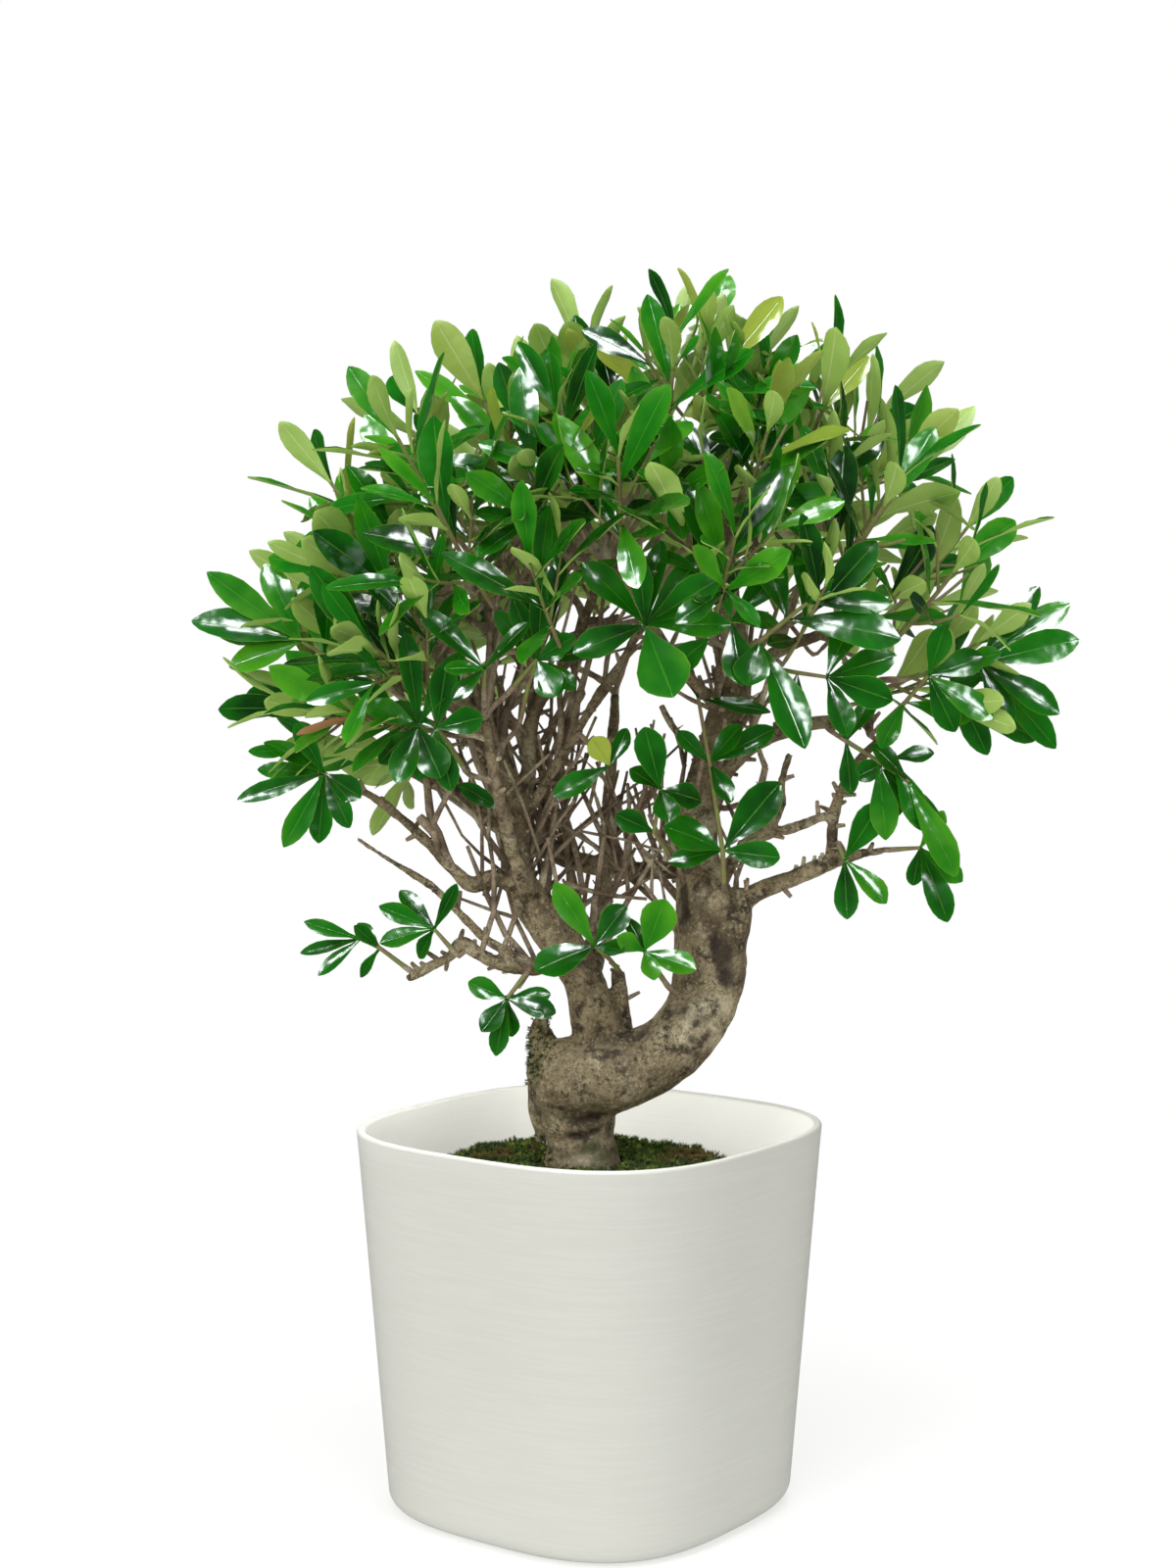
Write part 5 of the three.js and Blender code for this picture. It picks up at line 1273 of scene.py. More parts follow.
# each spray's stem, then its leaves: their reach from the stem, width, and how many places back from its end
placedSprays = [
    ("spray_hanging",
        [(-35, -20, 287), (-44, -26, 276)],
        [(-20, -6, 10, 10), (-13, -10, -16, 10), (-6, -4, -30, 9), (3, 9, -24, 8), (26, -8, -6, 10),
         (24, 6, 2, 8), (4, 12, 20, 10)]),
    ("spray_fork",
        [(14, -12, 290), (10, -28, 297), (2, -34, 305)],
        [(-21, -6, 34, 12), (-31, -14, -11, 18), (16, -12, 0, 11), (17, 4, 22, 13)]),
    ("spray_trunk",
        [(38, -24, 286), (28, -34, 302)],
        [(11, -4, 28, 17), (-14, -10, 9, 9), (27, -8, -8, 13), (5, -13, -13, 9), (-9, 8, 19, 8)]),
    ("spray_near",
        [(-41, -18, 370), (-43, -30, 374)],
        [(-4, -8, -27, 10), (-26, -4, 16, 8)]),
    ("spray_pale",
        [(-2, -22, 411), (10, -34, 399)],
        [(-30, -8, -15, 11), (-9, -6, 15, 11), (10, 6, 20, 8)]),
    ("spray_middle",
        [(41, -18, 352), (33, -30, 364), (36, -36, 387)],
        [(-8, -6, 33, 14), (23, 4, -6, 13), (-16, 2, 11, 9), (5, -11, -16, 13), (-20, -7, 10, 11, 1)]),
    ("spray_sucker",
        [(70, -22, 336), (69, -25, 354), (65, -27, 380), (62, -27, 400), (56, -24, 434)],
        [(-30, -12, 16, 19, 3), (-29, 2, -6, 10, 3), (30, -6, -3, 13, 3), (30, -2, 37, 17, 3),
         (12, -8, -20, 10, 1), (16, -4, 21, 12, 1), (34, -4, 19, 11, 1), (-17, 4, 17, 8, 1),
         (11, -5, 19, 10), (38, -6, -7, 9), (-10, 2, 23, 8)]),
    ("spray_heart",
        [(37, -73, 463), (27, -92, 472)],
        [(14, -8, -36, 23), (43, -6, 2, 13), (-37, -4, -13, 14), (-3, -3, 34, 10), (-31, 4, 34, 14),
         (7, 9, 45, 10), (31, 6, 38, 13), (44, -6, 32, 15)]),
    ("spray_droop",
        [(76, -75, 459), (84, -88, 464), (97, -93, 475), (107, -95, 483)],
        [(-7, -8, -22, 16, 2), (23, -12, -53, 18, 2), (59, -6, -6, 18, 1), (44, 4, 1, 10),
         (8, 0, 30, 12), (34, 2, 18, 10), (-12, 4, 36, 14, 1)]),
    ("spray_centre_left",
        [(-40, -60, 440), (-27, -70, 455)],
        [(3, 2, 52, 10), (-12, 6, 39, 12), (9, -10, -19, 13), (19, -7, 12, 9), (25, 6, 4, 9)]),
    ("spray_drape",
        [(-54, -68, 440), (-53, -79, 450)],
        [(-17, -6, -15, 8), (-20, -8, 2, 9), (-37, 2, 30, 11), (22, -5, 26, 8)]),
    ("spray_left_hub",
        [(-80, -60, 418), (-87, -70, 421)],
        [(12, -8, -26, 15), (-11, -11, -28, 13), (22, -3, 40, 12), (-6, 2, 52, 11), (-29, -5, 15, 12),
         (-24, 7, -19, 11)]),
    ("spray_low_tip",
        [(-98, -19, 292), (-111, -20, 302), (-121, -21, 307)],
        [(-30, -6, 10, 7), (-33, 5, -8, 6), (-23, -8, -18, 7), (-13, 9, 14, 7, 1), (-12, 9, -17, 6, 1),
         (-12, -10, 13, 7, 1)]),
    ("spray_low_left",
        [(-73, -24, 302), (-82, -27, 313)],
        [(-29, -8, -5, 10), (-29, -2, 13, 9), (-19, 9, 22, 8), (13, -5, 24, 7), (-10, 8, -17, 8)]),
    ("spray_left_end",
        [(-133, -13, 390), (-140, -16, 394)],
        [(-46, -8, -13, 9), (-33, 5, 20, 11), (-15, -5, 27, 9), (-21, -9, -39, 11), (-4, 7, -41, 11),
         (14, -12, -28, 10), (-38, 12, 2, 9), (20, -9, -12, 12)]),
    ("spray_far_left",
        [(-122, -8, 448), (-140, -11, 456), (-152, -13, 463)],
        [(-50, -6, 38, 13), (-57, -10, 15, 16), (-46, 6, 5, 12), (-38, -4, -13, 15), (-20, 4, 44, 13),
         (4, -6, 46, 14, 1), (-14, 8, 40, 12, 1), (-36, 7, 24, 13), (-20, -9, -22, 12, 1)]),
    ("spray_right_drop",
        [(131, -17, 355), (133, -22, 349)],
        [(1, -8, -31, 11), (24, -5, -22, 11), (19, -6, 31, 14)]),
    ("spray_right_end",
        [(161, -18, 354), (173, -20, 355)],
        [(15, -8, -39, 13), (25, 5, -20, 10), (-3, 8, -22, 8), (12, -5, 20, 9)]),
    ("spray_right_hub",
        [(152, -18, 407), (157, -25, 402)],
        [(19, -8, -37, 12), (-19, 2, -10, 10), (6, 8, -31, 9), (22, -5, 5, 9)]),
    ("spray_right_upper",
        [(133, -10, 414), (134, -18, 411)],
        [(-8, -5, 30, 9), (2, -7, -28, 9), (15, 9, 28, 9)]),
    ("spray_far_right",
        [(168, -10, 444), (188, -12, 448), (204, -13, 452)],
        [(54, -6, 14, 15), (44, -8, -26, 14), (46, 4, -46, 14), (34, 8, 44, 13), (18, -6, -34, 12),
         (10, 10, 40, 12, 1), (50, 6, 34, 13), (26, -12, 10, 11, 1), (22, 4, -46, 12, 1)]),
]

# more shoots in front of the open inside, each on the piece of the spray it stands by
frontShoots = [
    ("spray_right_upper",
        [(134, -18, 411), (150, -24, 401), (166, -27, 390)],
        [(30, -8, -36, 13, 1), (26, -6, -50, 14), (-19, -4, 22, 11), (5, -8, -42, 13, 1), (20, 6, -28, 11)]),
    ("spray_right_hub",
        [(150, -24, 418), (163, -34, 432), (174, -40, 446)],
        [(14, -5, -30, 12), (34, -4, -22, 13), (-14, -4, -24, 10, 1), (30, 2, 10, 13), (8, -6, 26, 11),
         (38, 4, -8, 12, 1)]),
    ("spray_drape",
        [(-36, -42, 424), (-32, -60, 440), (-27, -70, 454)],
        [(12, -6, -17, 13), (15, -4, 8, 9), (3, -4, 40, 10), (-12, -3, 32, 9), (-22, 4, 26, 9),
         (20, 6, -14, 9)]),
    ("spray_left_hub",
        [(-66, -50, 400), (-72, -62, 412), (-78, -70, 420)],
        [(-10, -6, -26, 12), (8, -5, -32, 11), (24, -4, 6, 12), (-26, 2, 12, 12), (6, -4, 34, 12)]),
    ("spray_droop",
        [(92, -60, 450), (104, -72, 448), (118, -80, 446)],
        [(12, -6, -30, 13), (34, -5, -12, 14), (36, 2, 12, 13), (-4, -8, -26, 11, 1), (14, 4, 34, 12)]),
    ("spray_heart",
        [(48, -60, 458), (60, -76, 466), (70, -84, 474)],
        [(6, -8, -32, 15), (34, -6, -8, 14), (28, 4, 30, 13), (-8, -4, 36, 12), (-20, -8, -16, 12, 1)]),
]

# the leaf pairs along each kind of shoot: share of its length, angle out, size
mainNodes = ((0.5, 0.8, 0.98), (0.78, 0.62, 1.0), (1, 0.38, 0.88))
sideNodes = ((1, 0.5, 0.88),)
moreMainNodes = ((0.28, 0.9, 0.72), (0.64, 0.7, 0.92), (0.9, 0.5, 0.95))
moreSideNodes = ((0.45, 0.9, 0.8), (0.74, 0.7, 0.92))
twigNodes = ((0.42, 0.9, 0.76), (0.72, 0.75, 0.86), (1, 0.42, 0.8))
fillNodes = ((0.3, 0.85, 0.85), (0.5, 0.75, 0.95), (0.68, 0.65, 1.0), (0.85, 0.55, 0.92), (1, 0.38, 0.85))

golden = math.pi * (3 - math.sqrt(5))
taken = []  # what has found room: owner, skin, centre, radius
cells = {}  # which of the taken touch each cell of a coarse grid
cellSize = 60


def cellsNear(centre, radius):
    spans = [range(math.floor((c - radius) / cellSize), math.floor((c + radius) / cellSize) + 1)
             for c in centre]
    return [(i, j, k) for i in spans[0] for j in spans[1] for k in spans[2]]


def ballRound(corners):
    centre = sum(corners, Vector()) / len(corners)
    return centre, max((corner - centre).length for corner in corners)


def isClear(owner, shape, woodSkin):
    # True where the shape touches no wood and nothing of another owner
    skinTree, centre, radius = shape
    if skinTree.overlap(woodSkin):
        return False
    seen = set()
    for cell in cellsNear(centre, radius):
        for index in cells.get(cell, ()):
            if index in seen:
                continue
            seen.add(index)
            other, otherSkin, otherCentre, otherRadius = taken[index]
            near = (centre - otherCentre).length < radius + otherRadius
            if other != owner and near and skinTree.overlap(otherSkin):
                return False
    return True


def remember(owner, shape):
    for cell in cellsNear(shape[1], shape[2]):
        cells.setdefault(cell, []).append(len(taken))
    taken.append((owner, *shape))


def tubeShape(places, radii):
    corners, faces = tube(places, radii, 3)
    return (BVHTree.FromPolygons(corners, faces), *ballRound(corners))


def leafHabit(draw):
    return {"arch": 0.02 + 0.13 * draw(), "fold": 0.1 + 0.1 * draw(), "twist": 0.5 * (draw() - 0.5),
            "bluntness": 0.72 + 0.22 * draw()}


def leafShape(facts):
    # the leaf's rough form, from a little way off its foot, to test for room
    side = facts["normal"].cross(facts["axis"])
    length = facts["length"]

    def corner(share, across, rise):
        along = length * share * (1 - 0.3 * facts["arch"] * share)
        drop = facts["arch"] * length * share * share
        return facts["base"] + facts["axis"] * along + side * across + facts["normal"] * (rise - drop)

    corners = []
    for share in (0.14, 0.3, 0.6, 0.86):
        half = math.sin(math.pi * share ** leaf["fullness"]) ** facts["bluntness"] * facts["width"] / 2
        across, tilt = half * math.cos(facts["twist"] * share), half * math.sin(facts["twist"] * share)
        corners += [corner(share, 0, -leaf["keel"]), corner(share, across, half * facts["fold"] + tilt),
                    corner(share, -across, half * facts["fold"] - tilt)]
    corners.append(corner(1, 0, 0))
    faces = bands(4, 3) + [(9, 10, 12), (10, 11, 12), (11, 9, 12)]
    return (BVHTree.FromPolygons(corners, faces), *ballRound(corners))


def shootLeaf(at, tangent, reference, around, angle, size, draw):
    # a leaf that leaves the shoot at this angle and turns its face up and outward
    second = tangent.cross(reference)
    outward = reference * math.cos(around) + second * math.sin(around)
    axis = tangent * math.cos(angle) + outward * math.sin(angle)
    axis.z -= 0.06
    axis.normalize()
    face = tangent * math.sin(angle) - outward * math.cos(angle)
    aside = Vector((at.x - crown["centre"][0], at.y - crown["centre"][1], 0)).normalized()
    normal = squareTo(axis, face * 0.6 + up * 0.4 + aside * 0.6)
    length = leaf["length"] * size
    width = length * leaf["slimness"] * (0.8 + 0.4 * draw())
    return {"base": at, "axis": axis, "normal": normal, "length": length, "width": width, **leafHabit(draw)}


def placedLeaf(stem, row, seed, attempt):
    # a leaf from the tables, which faces the viewer; later attempts turn and shorten it
    draw = seededDraw(seed + seeds["attempt"] * attempt)
    reach = Vector(row[:3])
    back = row[4] if len(row) > 4 else 0
    length = reach.length * (1 - 0.05 * attempt)
    axis = reach.normalized()
    axis.x += (draw() - 0.5) * 0.35 * attempt
    axis.y += (draw() - 0.5) * 0.5 * attempt
    axis.z += (draw() - 0.5) * 0.35 * attempt
    axis.normalize()
    leanX, leanZ = draw() - 0.5, draw() - 0.5
    normal = squareTo(axis, Vector((leanX * 0.8, -1, 0.45 + leanZ * 0.8)))
    return {"base": stem[len(stem) - 1 - back], "axis": axis, "normal": normal, "length": length,
            "width": row[3] * leaf["broader"], **leafHabit(draw)}


def shootBend(base, heading, length, lift):
    # what bent() takes for a shoot whose end lifts
    return base, base + heading * (length / 2), base + heading * length + up * (lift * length)


def bent(start, middle, end):
    def curve(share):
        rest = 1 - share
        return start * rest ** 2 + middle * (2 * rest * share) + end * share ** 2
    return curve


def shootLeaves(line, nodes, seed):
    # a maker for each leaf of the pairs along a shoot
    firstRound = seededDraw(seed)() * math.pi
    makers = []
    for k, (share, angle, size) in enumerate(nodes):
        tangent = tangentOf(line, share)
        at = line(share)
        reference = squareTo(tangent, up)
        for other in (0, 1):
            place = (at, tangent, reference)
            own = seed + 10 * k + 5 * other + 1
            start = firstRound + k * math.pi / 2 + other * math.pi

            def maker(attempt, place=place, own=own, start=start, angle=angle, size=size):
                draw = seededDraw(own + seeds["attempt"] * attempt)
                around = start + (draw() - 0.5) * (0.3 + 0.35 * attempt)
                out = angle + (draw() - 0.5) * (0.25 + 0.2 * attempt)
                made = size * (1 + 0.5 * (draw() - 0.5)) * (1 - 0.05 * attempt)
                return shootLeaf(*place, around, out, made, draw)
            makers.append(maker)
    return makers


def sway(seed, attempt):
    # how far a shoot's end moves aside at this attempt
    return anyWay(seededDraw(seed + 77 * attempt)) * (shoot["sway"] * attempt)


def crownPlaces(rows, first, drawSeed, shells):
    # where crown shoots start: evenly round an oval, without its underside
    places = []
    for i in range(rows):
        height = 0.985 - (0.985 - crown["lowestLeft"]) * i / (rows - 1)
        around = golden * i + first
        sideways = math.cos(around)
        lowestSide = crown["lowestLeft"] if sideways < 0 else crown["lowestRight"]
        if height < crown["lowestFront"] + (lowestSide - crown["lowestFront"]) * sideways ** 2:
            continue
        girth = math.sqrt(1 - height * height)
        draw = seededDraw(drawSeed + i)
        depth = shells(i, draw)
        unit = (girth * math.cos(around), girth * math.sin(around), height)
        base = Vector([c + u * (r - crown["shell"]) * depth
                       for c, u, r in zip(crown["centre"], unit, crown["reach"])])
        outward = Vector([u / r for u, r in zip(unit, crown["reach"])]).normalized()
        outward.z += crown["lift"] * (1 - abs(height))
        outward.x += 0.2 * (draw() - 0.5)
        outward.y += 0.2 * (draw() - 0.5)
        places.append({"base": base, "heading": outward.normalized(), "seed": 100 * (i + 1)})
    return places


def sideCurve(line, heading, seedRound, attempt, share, length, angle):
    # a side shoot from this share of the line; each attempt leaves further round
    reference = squareTo(heading, up)
    second = heading.cross(reference)
    around = seedRound + attempt * 1.1
    sideHeading = heading * math.cos(angle)
    sideHeading += (reference * math.cos(around) + second * math.sin(around)) * math.sin(angle)
    return bent(*shootBend(line(share), sideHeading, length, shoot["lift"]))


def tapered(count, thick, thin):
    return [thick + (thin - thick) * i / count for i in range(count + 1)]


def along(curve, count, thick, thin, start=0.0):
    # places at even steps from the start on, and their radii
    return [curve(start + (1 - start) * i / count) for i in range(count + 1)], tapered(count, thick, thin)


def firstClear(owner, tries, woodSkin, attemptAt):
    # the first attempt that finds room, or None
    for attempt in range(tries):
        made, shape = attemptAt(attempt)
        if isClear(owner, shape, woodSkin):
            remember(owner, shape)
            return made
    return None


def insideOutline(place, draw=None):
    # True inside the crown's outline, whose edge a draw makes uneven
    dx = place.x - crown["centre"][0]
    away = math.hypot(dx, (place.y - crown["centre"][1]) * crown["reach"][0] / crown["reach"][1])
    heights, left, right = zip(*crown["outline"])
    toLeft, toRight = np.interp(place.z, heights, left), np.interp(place.z, heights, right)
    limit = (toLeft + toRight) / 2 + (toRight - toLeft) / 2 * dx / max(away, 1)
    share = crown["leastOutline"] + crown["outlineSpan"] * draw() if draw else 1
    return away < limit * share and place.z < heights[-1]


def growLeaves(spray, makers, tries, woodSkin, bounded=None):
    # bounded is the seed of the leaves that keep inside the outline
    if bounded is not None:
        draw = seededDraw(bounded)

        def isInside(maker):
            facts = maker(0)
            tip = facts["base"] + facts["axis"] * facts["length"]
            kept = min([1] + [share for x, z, radius, share in crown["airy"]
                              if math.hypot(tip.x - x, tip.z - z) < radius])
            return draw() < kept and insideOutline(tip, draw)
        makers = [maker for maker in makers if isInside(maker)]
    for maker in makers:
        def attemptAt(attempt):
            facts = maker(attempt)
            return facts, leafShape(facts)
        made = firstClear(None, tries, woodSkin, attemptAt)
        if made:
            spray["leaves"].append(made)


def stemTargets(stems, seed):
    return [{"base": stem[0], "heading": (stem[1] - stem[0]).normalized(), "seed": seed + i}
            for i, stem in enumerate(stems)]


def leafMakers(stem, rows, seed):
    return [lambda attempt, row=row, own=seed + k: placedLeaf(stem, row, own, attempt)
            for k, row in enumerate(rows)]


def growSprays():
    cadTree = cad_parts["tree"].data
    woodSkin = BVHTree.FromPolygons([vertex.co / mm for vertex in cadTree.vertices],
                                    [tuple(face.vertices) for face in cadTree.polygons])
    stems = [[Vector(place) for place in stem] for _, stem, _ in placedSprays]
    added = [[Vector(place) for place in stem] for _, stem, _ in frontShoots]

    def mainDepth(i, draw):
        return 1 - 0.16 * (1 if i % 3 == 1 else draw() * 0.4)
    places = crownPlaces(crown["rows"], 0, seeds["crown"], mainDepth)
    growBranches(stemTargets(stems, seeds["branches"]) + places, branch["tipRadius"])
    print("branches ready,", len(places), "crown places")

    sprays, makers = [], []
    thick, thin = shoot["baseRadius"], shoot["tipRadius"]
    for i, (name, _, leaves) in enumerate(placedSprays):
        def attemptAt(attempt):
            moved = sway(i, attempt)
            swayed = [place + (moved if k else Vector()) for k, place in enumerate(stems[i])]
            return swayed, tubeShape(swayed, tapered(len(swayed) - 1, thick, thin))
        stem = firstClear(name, shoot["tries"], woodSkin, attemptAt) or stems[i]
        sprays.append({"name": name, "stems": [(stem, tapered(len(stem) - 1, thick, 1.0))], "leaves": []})
        makers.append(leafMakers(stem, leaves, seeds["placedLeaves"] + 20 * i))

    mains = []
    for number, place in enumerate(places):
        draw = seededDraw(place["seed"])
        length = shoot["length"] * (0.88 + 0.24 * draw())
        seedRound = draw() * math.pi * 2
        start, middle, end = shootBend(place["base"], place["heading"], length, shoot["lift"])
        name = f"spray_crown_{number + 1:02d}"

        def attemptAt(attempt):
            line = bent(start, middle, end + sway(place["seed"], attempt))
            return line, tubeShape(*along(line, 4, thick, thin))
        line = firstClear(name, shoot["tries"], woodSkin, attemptAt) or bent(start, middle, end)

        def sideAt(attempt):
            side = sideCurve(line, place["heading"], seedRound, attempt, shoot["forkShare"],
                             shoot["sideLength"], shoot["sideAngle"])
            return side, tubeShape(*along(side, 3, thin, thin, 0.1))
        side = firstClear(name, shoot["tries"], woodSkin, sideAt)
        spray = {"name": name, "stems": [along(line, 10, thick, 1.0)], "leaves": []}
        grow = shootLeaves(line, mainNodes, place["seed"] + 11)
        if side:
            spray["stems"].append(along(side, 6, thin, 0.9))
            grow += shootLeaves(side, sideNodes, place["seed"] + 61)
        sprays.append(spray)
        makers.append(grow)
        mains.append((spray, line, side, place, seedRound))
    for spray, grow in zip(sprays, makers):
        growLeaves(spray, grow, leaf["tries"], woodSkin)
    growBranches(stemTargets(added, seeds["frontBranches"]), shoot["frontRadius"])
    for i, ((name, _, leaves), stem) in enumerate(zip(frontShoots, added)):
        owner = next(spray for spray in sprays if spray["name"] == name)
        owner["stems"].append((stem, tapered(len(stem) - 1, 1.4, 1.0)))
        growLeaves(owner, leafMakers(stem, leaves, seeds["frontLeaves"] + 20 * i), leaf["tries"], woodSkin)
    print("model's leaves:", sum(len(spray["leaves"]) for spray in sprays))

    for spray, line, side, place, seedRound in mains:
        grow = shootLeaves(line, moreMainNodes, place["seed"] + 23)
        if side:
            grow += shootLeaves(side, moreSideNodes, place["seed"] + 37)
        for k, share in enumerate((0.42, 0.6)):
            def moreAt(attempt):
                twig = sideCurve(line, place["heading"], seedRound + 2.1 * (k + 1), attempt, share,
                                 shoot["twigLength"], 0.8)
                return twig, tubeShape(*along(twig, 3, 1, 1, 0.12))
            twig = firstClear(spray["name"], shoot["twigTries"], woodSkin, moreAt)
            if twig:
                spray["stems"].append(along(twig, 5, 1.0, 0.8))
                grow += shootLeaves(twig, twigNodes, place["seed"] + 41 + 6 * k)
        growLeaves(spray, grow, leaf["moreTries"], woodSkin, place["seed"] + 3)
    print("with more leaves:", sum(len(spray["leaves"]) for spray in sprays))

    def fillDepth(i, draw):
        return 0.98 - 0.12 * draw() if i % 3 else 0.72 + 0.14 * draw()
    owners = [(place["base"], spray) for spray, _, _, place, _ in mains]
    fills = crownPlaces(crown["fillRows"], 1.1, seeds["fills"], fillDepth)
    fills = [place for place in fills
             if min((place["base"] - base).length for base, _ in owners) > crown["fillApart"]
             and insideOutline(place["base"] + place["heading"] * crown["fillLength"])]
    for place in fills:
        place["seed"] += seeds["fillPlaces"]
    growBranches(fills, 1.1)
    for place in fills:
        owner = min(owners, key=lambda entry: (place["base"] - entry[0]).length)[1]
        draw = seededDraw(place["seed"])
        line = bent(*shootBend(place["base"], place["heading"], crown["fillLength"] + 16 * draw(), 0.14))
        owner["stems"].append(along(line, 8, 1.2, 0.8))
        grow = shootLeaves(line, fillNodes, place["seed"] + 11)
        twig = sideCurve(line, place["heading"], draw() * 6.28, 0, 0.35, shoot["twigLength"], 0.85)
        owner["stems"].append(along(twig, 5, 0.9, 0.7))
        grow += shootLeaves(twig, twigNodes, place["seed"] + 41)
        growLeaves(owner, grow, leaf["moreTries"], woodSkin, place["seed"] + 3)
    print("with the filling shoots:", sum(len(spray["leaves"]) for spray in sprays))
    return sprays


def innerPlaces(count, seed, lowest, highest):
    # where dead ends stop: uneven places in the crown's open middle
    (x, y, z), (wide, deep, high) = crown["middleCentre"], crown["middleReach"]
    targets = []
    for i in range(count):
        draw = seededDraw(seed + i)
        around, reach = draw() * math.pi * 2, 0.1 + 0.9 * draw() ** 0.6
        height = lowest + (highest - lowest) * draw() ** 0.8
        swell = math.sqrt(max(0.1, 1 - ((height - z) / high) ** 2))
        cosine, sine = math.cos(around), math.sin(around)
        base = Vector((x + wide * swell * reach * cosine, y + deep * swell * reach * sine, height))
        heading = Vector((0.3 * cosine + 0.9 * (draw() - 0.5), 0.3 * sine + 0.9 * (draw() - 0.5), 1.0))
        targets.append({"base": base, "heading": heading.normalized(), "seed": seed + 1000 + i})
    return targets


# bare wood in the open middle: seed, count, lowest, highest, then its tip radius and growBranch's habits
deadEnds = [
    ("bareBranches", 30, 370, 540, 1.7, 0.2, 0.2, 0.026),
    ("bareTwigs", 24, 325, 560, 1.0, 0.12, 0.15, 0.016),
]

# the twigs that climb through the open middle, in an oval of their own
riser = {
    "count": 90,
    "centre": (-4, 20, 430),
    "reach": (112, 80, 150),
    "lowest": 262,
    "front": -30,
    "startHeights": (290, 470),
    "startRadius": 1.9,
    "startX": -6,
    "startReach": 96,
    "tipRadius": 0.75,
    "kink": 0.6,
    "rise": 0.1,
    "forkShare": 0.5,
    "forks": 2,
}


def growBareTwigs():
    # dead-end branches and twigs that cross the open inside of the crown
    for seed, count, lowest, highest, *habits in deadEnds:
        growBranches(innerPlaces(count, seeds[seed], lowest, highest), *habits)
    low, high = riser["startHeights"]
    starts = [knot for knot in skeleton if low < knot["at"].z < high and knot["radius"] > riser["startRadius"]
              and abs(knot["at"].x - riser["startX"]) < riser["startReach"]]
    for i in range(riser["count"]):
        draw = seededDraw(seeds["risers"] + i)
        knot = starts[int(draw() * len(starts))]
        heading = knot["heading"] * 0.25 + up * 0.75 + Vector((draw() - 0.5, draw() - 0.4, 0)) * 1.35
        radius = min(knot["radius"] * 0.75, 1.3 + 1.5 * draw())
        growRiser(knot["at"], heading.normalized(), radius, 60 + 90 * draw(), draw, riser["forks"])


def growLowTwigs():
    # each bends once on its way and bears two side twigs
    for number, (start, end, radius) in enumerate(bark["lowTwigs"]):
        draw = seededDraw(seeds["lowTwigs"] + number)
        start, end = Vector(start), Vector(end)
        aside = anyWay(draw) * bark["lowTwigBend"]
        line = bent(start, (start + end) / 2 + aside, end)
        strands.append(along(line, 9, radius, 0.9))
        for _ in range(2):
            share = 0.45 + 0.5 * draw()
            side = squareTo(tangentOf(line, share), anyWay(draw, (0.5, 0.5, 0)))
            way = (tangentOf(line, share) + side * 0.8).normalized()
            twig = [line(share) + way * (step * (5 + 5 * draw())) for step in range(5)]
            strands.append((twig, tapered(4, radius * 0.6, 0.7)))


def growRiser(start, heading, radius, length, draw, forks):
    # a twig of straight stretches that climbs with a kink at each node, where it may fork
    places, radii = [start], [radius]
    travelled = 0
    while travelled < length:
        stretch = 15 + 17 * draw()
        heading = (heading + anyWay(draw) * riser["kink"] + up * riser["rise"]).normalized()
        end = places[-1] + heading * stretch
        within = math.hypot(*[(c - m) / r for c, m, r in zip(end, riser["centre"], riser["reach"])])
        if within > 1 or end.z < riser["lowest"] or end.y < riser["front"]:
            break
        for share in (1 / 3, 2 / 3, 1):
            places.append(places[-1].lerp(end, share) if share < 1 else end)
            done = min(1, (travelled + share * stretch) / length)
            radii.append(radius + (riser["tipRadius"] - radius) * done)
        travelled += stretch
        if forks and draw() < riser["forkShare"] and radii[-1] > 0.9:
            side = squareTo(heading, anyWay(draw))
            growRiser(end, (heading + side * (0.7 + 0.5 * draw())).normalized(), radii[-1] * 0.85,
                      22 + 40 * draw(), draw, forks - 1)
    if len(places) > 3:
        strands.append((places, radii))


def bladeShape():
    # one flat closed leaf; the spray's tree bends a copy of it into each leaf's place
    places, share, across, layer = [], [], [], []

    def put(s, a, under):
        places.append(Vector((a, s, -0.01 * under)))
        share.append(s)
        across.append(a)
        layer.append(under)
        return len(places) - 1
    top, under = [], []
    for s in leaf["stations"]:
        left, right = put(s, -1, 0), put(s, 1, 0)
        for rows, below in ((top, 0), (under, 1)):
            rows.append([left, *(put(s, a, below) for a in leaf["columns"]), right])
    tip = put(1, 0, 0)
    faces, sides = [], []
    for rows, back in ((top, False), (under, True)):
        loops = [(low[k], low[k + 1], high[k + 1], high[k])
                 for low, high in zip(rows, rows[1:]) for k in range(4)]
        loops += [(rows[-1][k], rows[-1][k + 1], tip) for k in range(4)]
        # a turned face keeps its first corner, so both sides split along the same diagonal
        faces += [face[:1] + face[:0:-1] if back else face for face in loops]
        sides += [float(back)] * len(loops)
    for k in range(4):
        face = (top[0][k + 1], top[0][k], under[0][k], under[0][k + 1])
        faces.append(tuple(dict.fromkeys(face)))
        sides.append(1.0)
    piece = pieceOf("blade", places, faces)
    mesh = piece.data
    addMarks(mesh, "FLOAT", "POINT", share=share, across=across, layer=layer)
    addMarks(mesh, "FLOAT", "FACE", underside=sides)
    rimPoints = {row[0] for row in top} | {row[4] for row in top} | {tip}
    sharp = [edge.vertices[0] in rimPoints and edge.vertices[1] in rimPoints for edge in mesh.edges]
    mesh.attributes.new("sharp_edge", "BOOLEAN", "EDGE").data.foreach_set("value", sharp)
    return piece


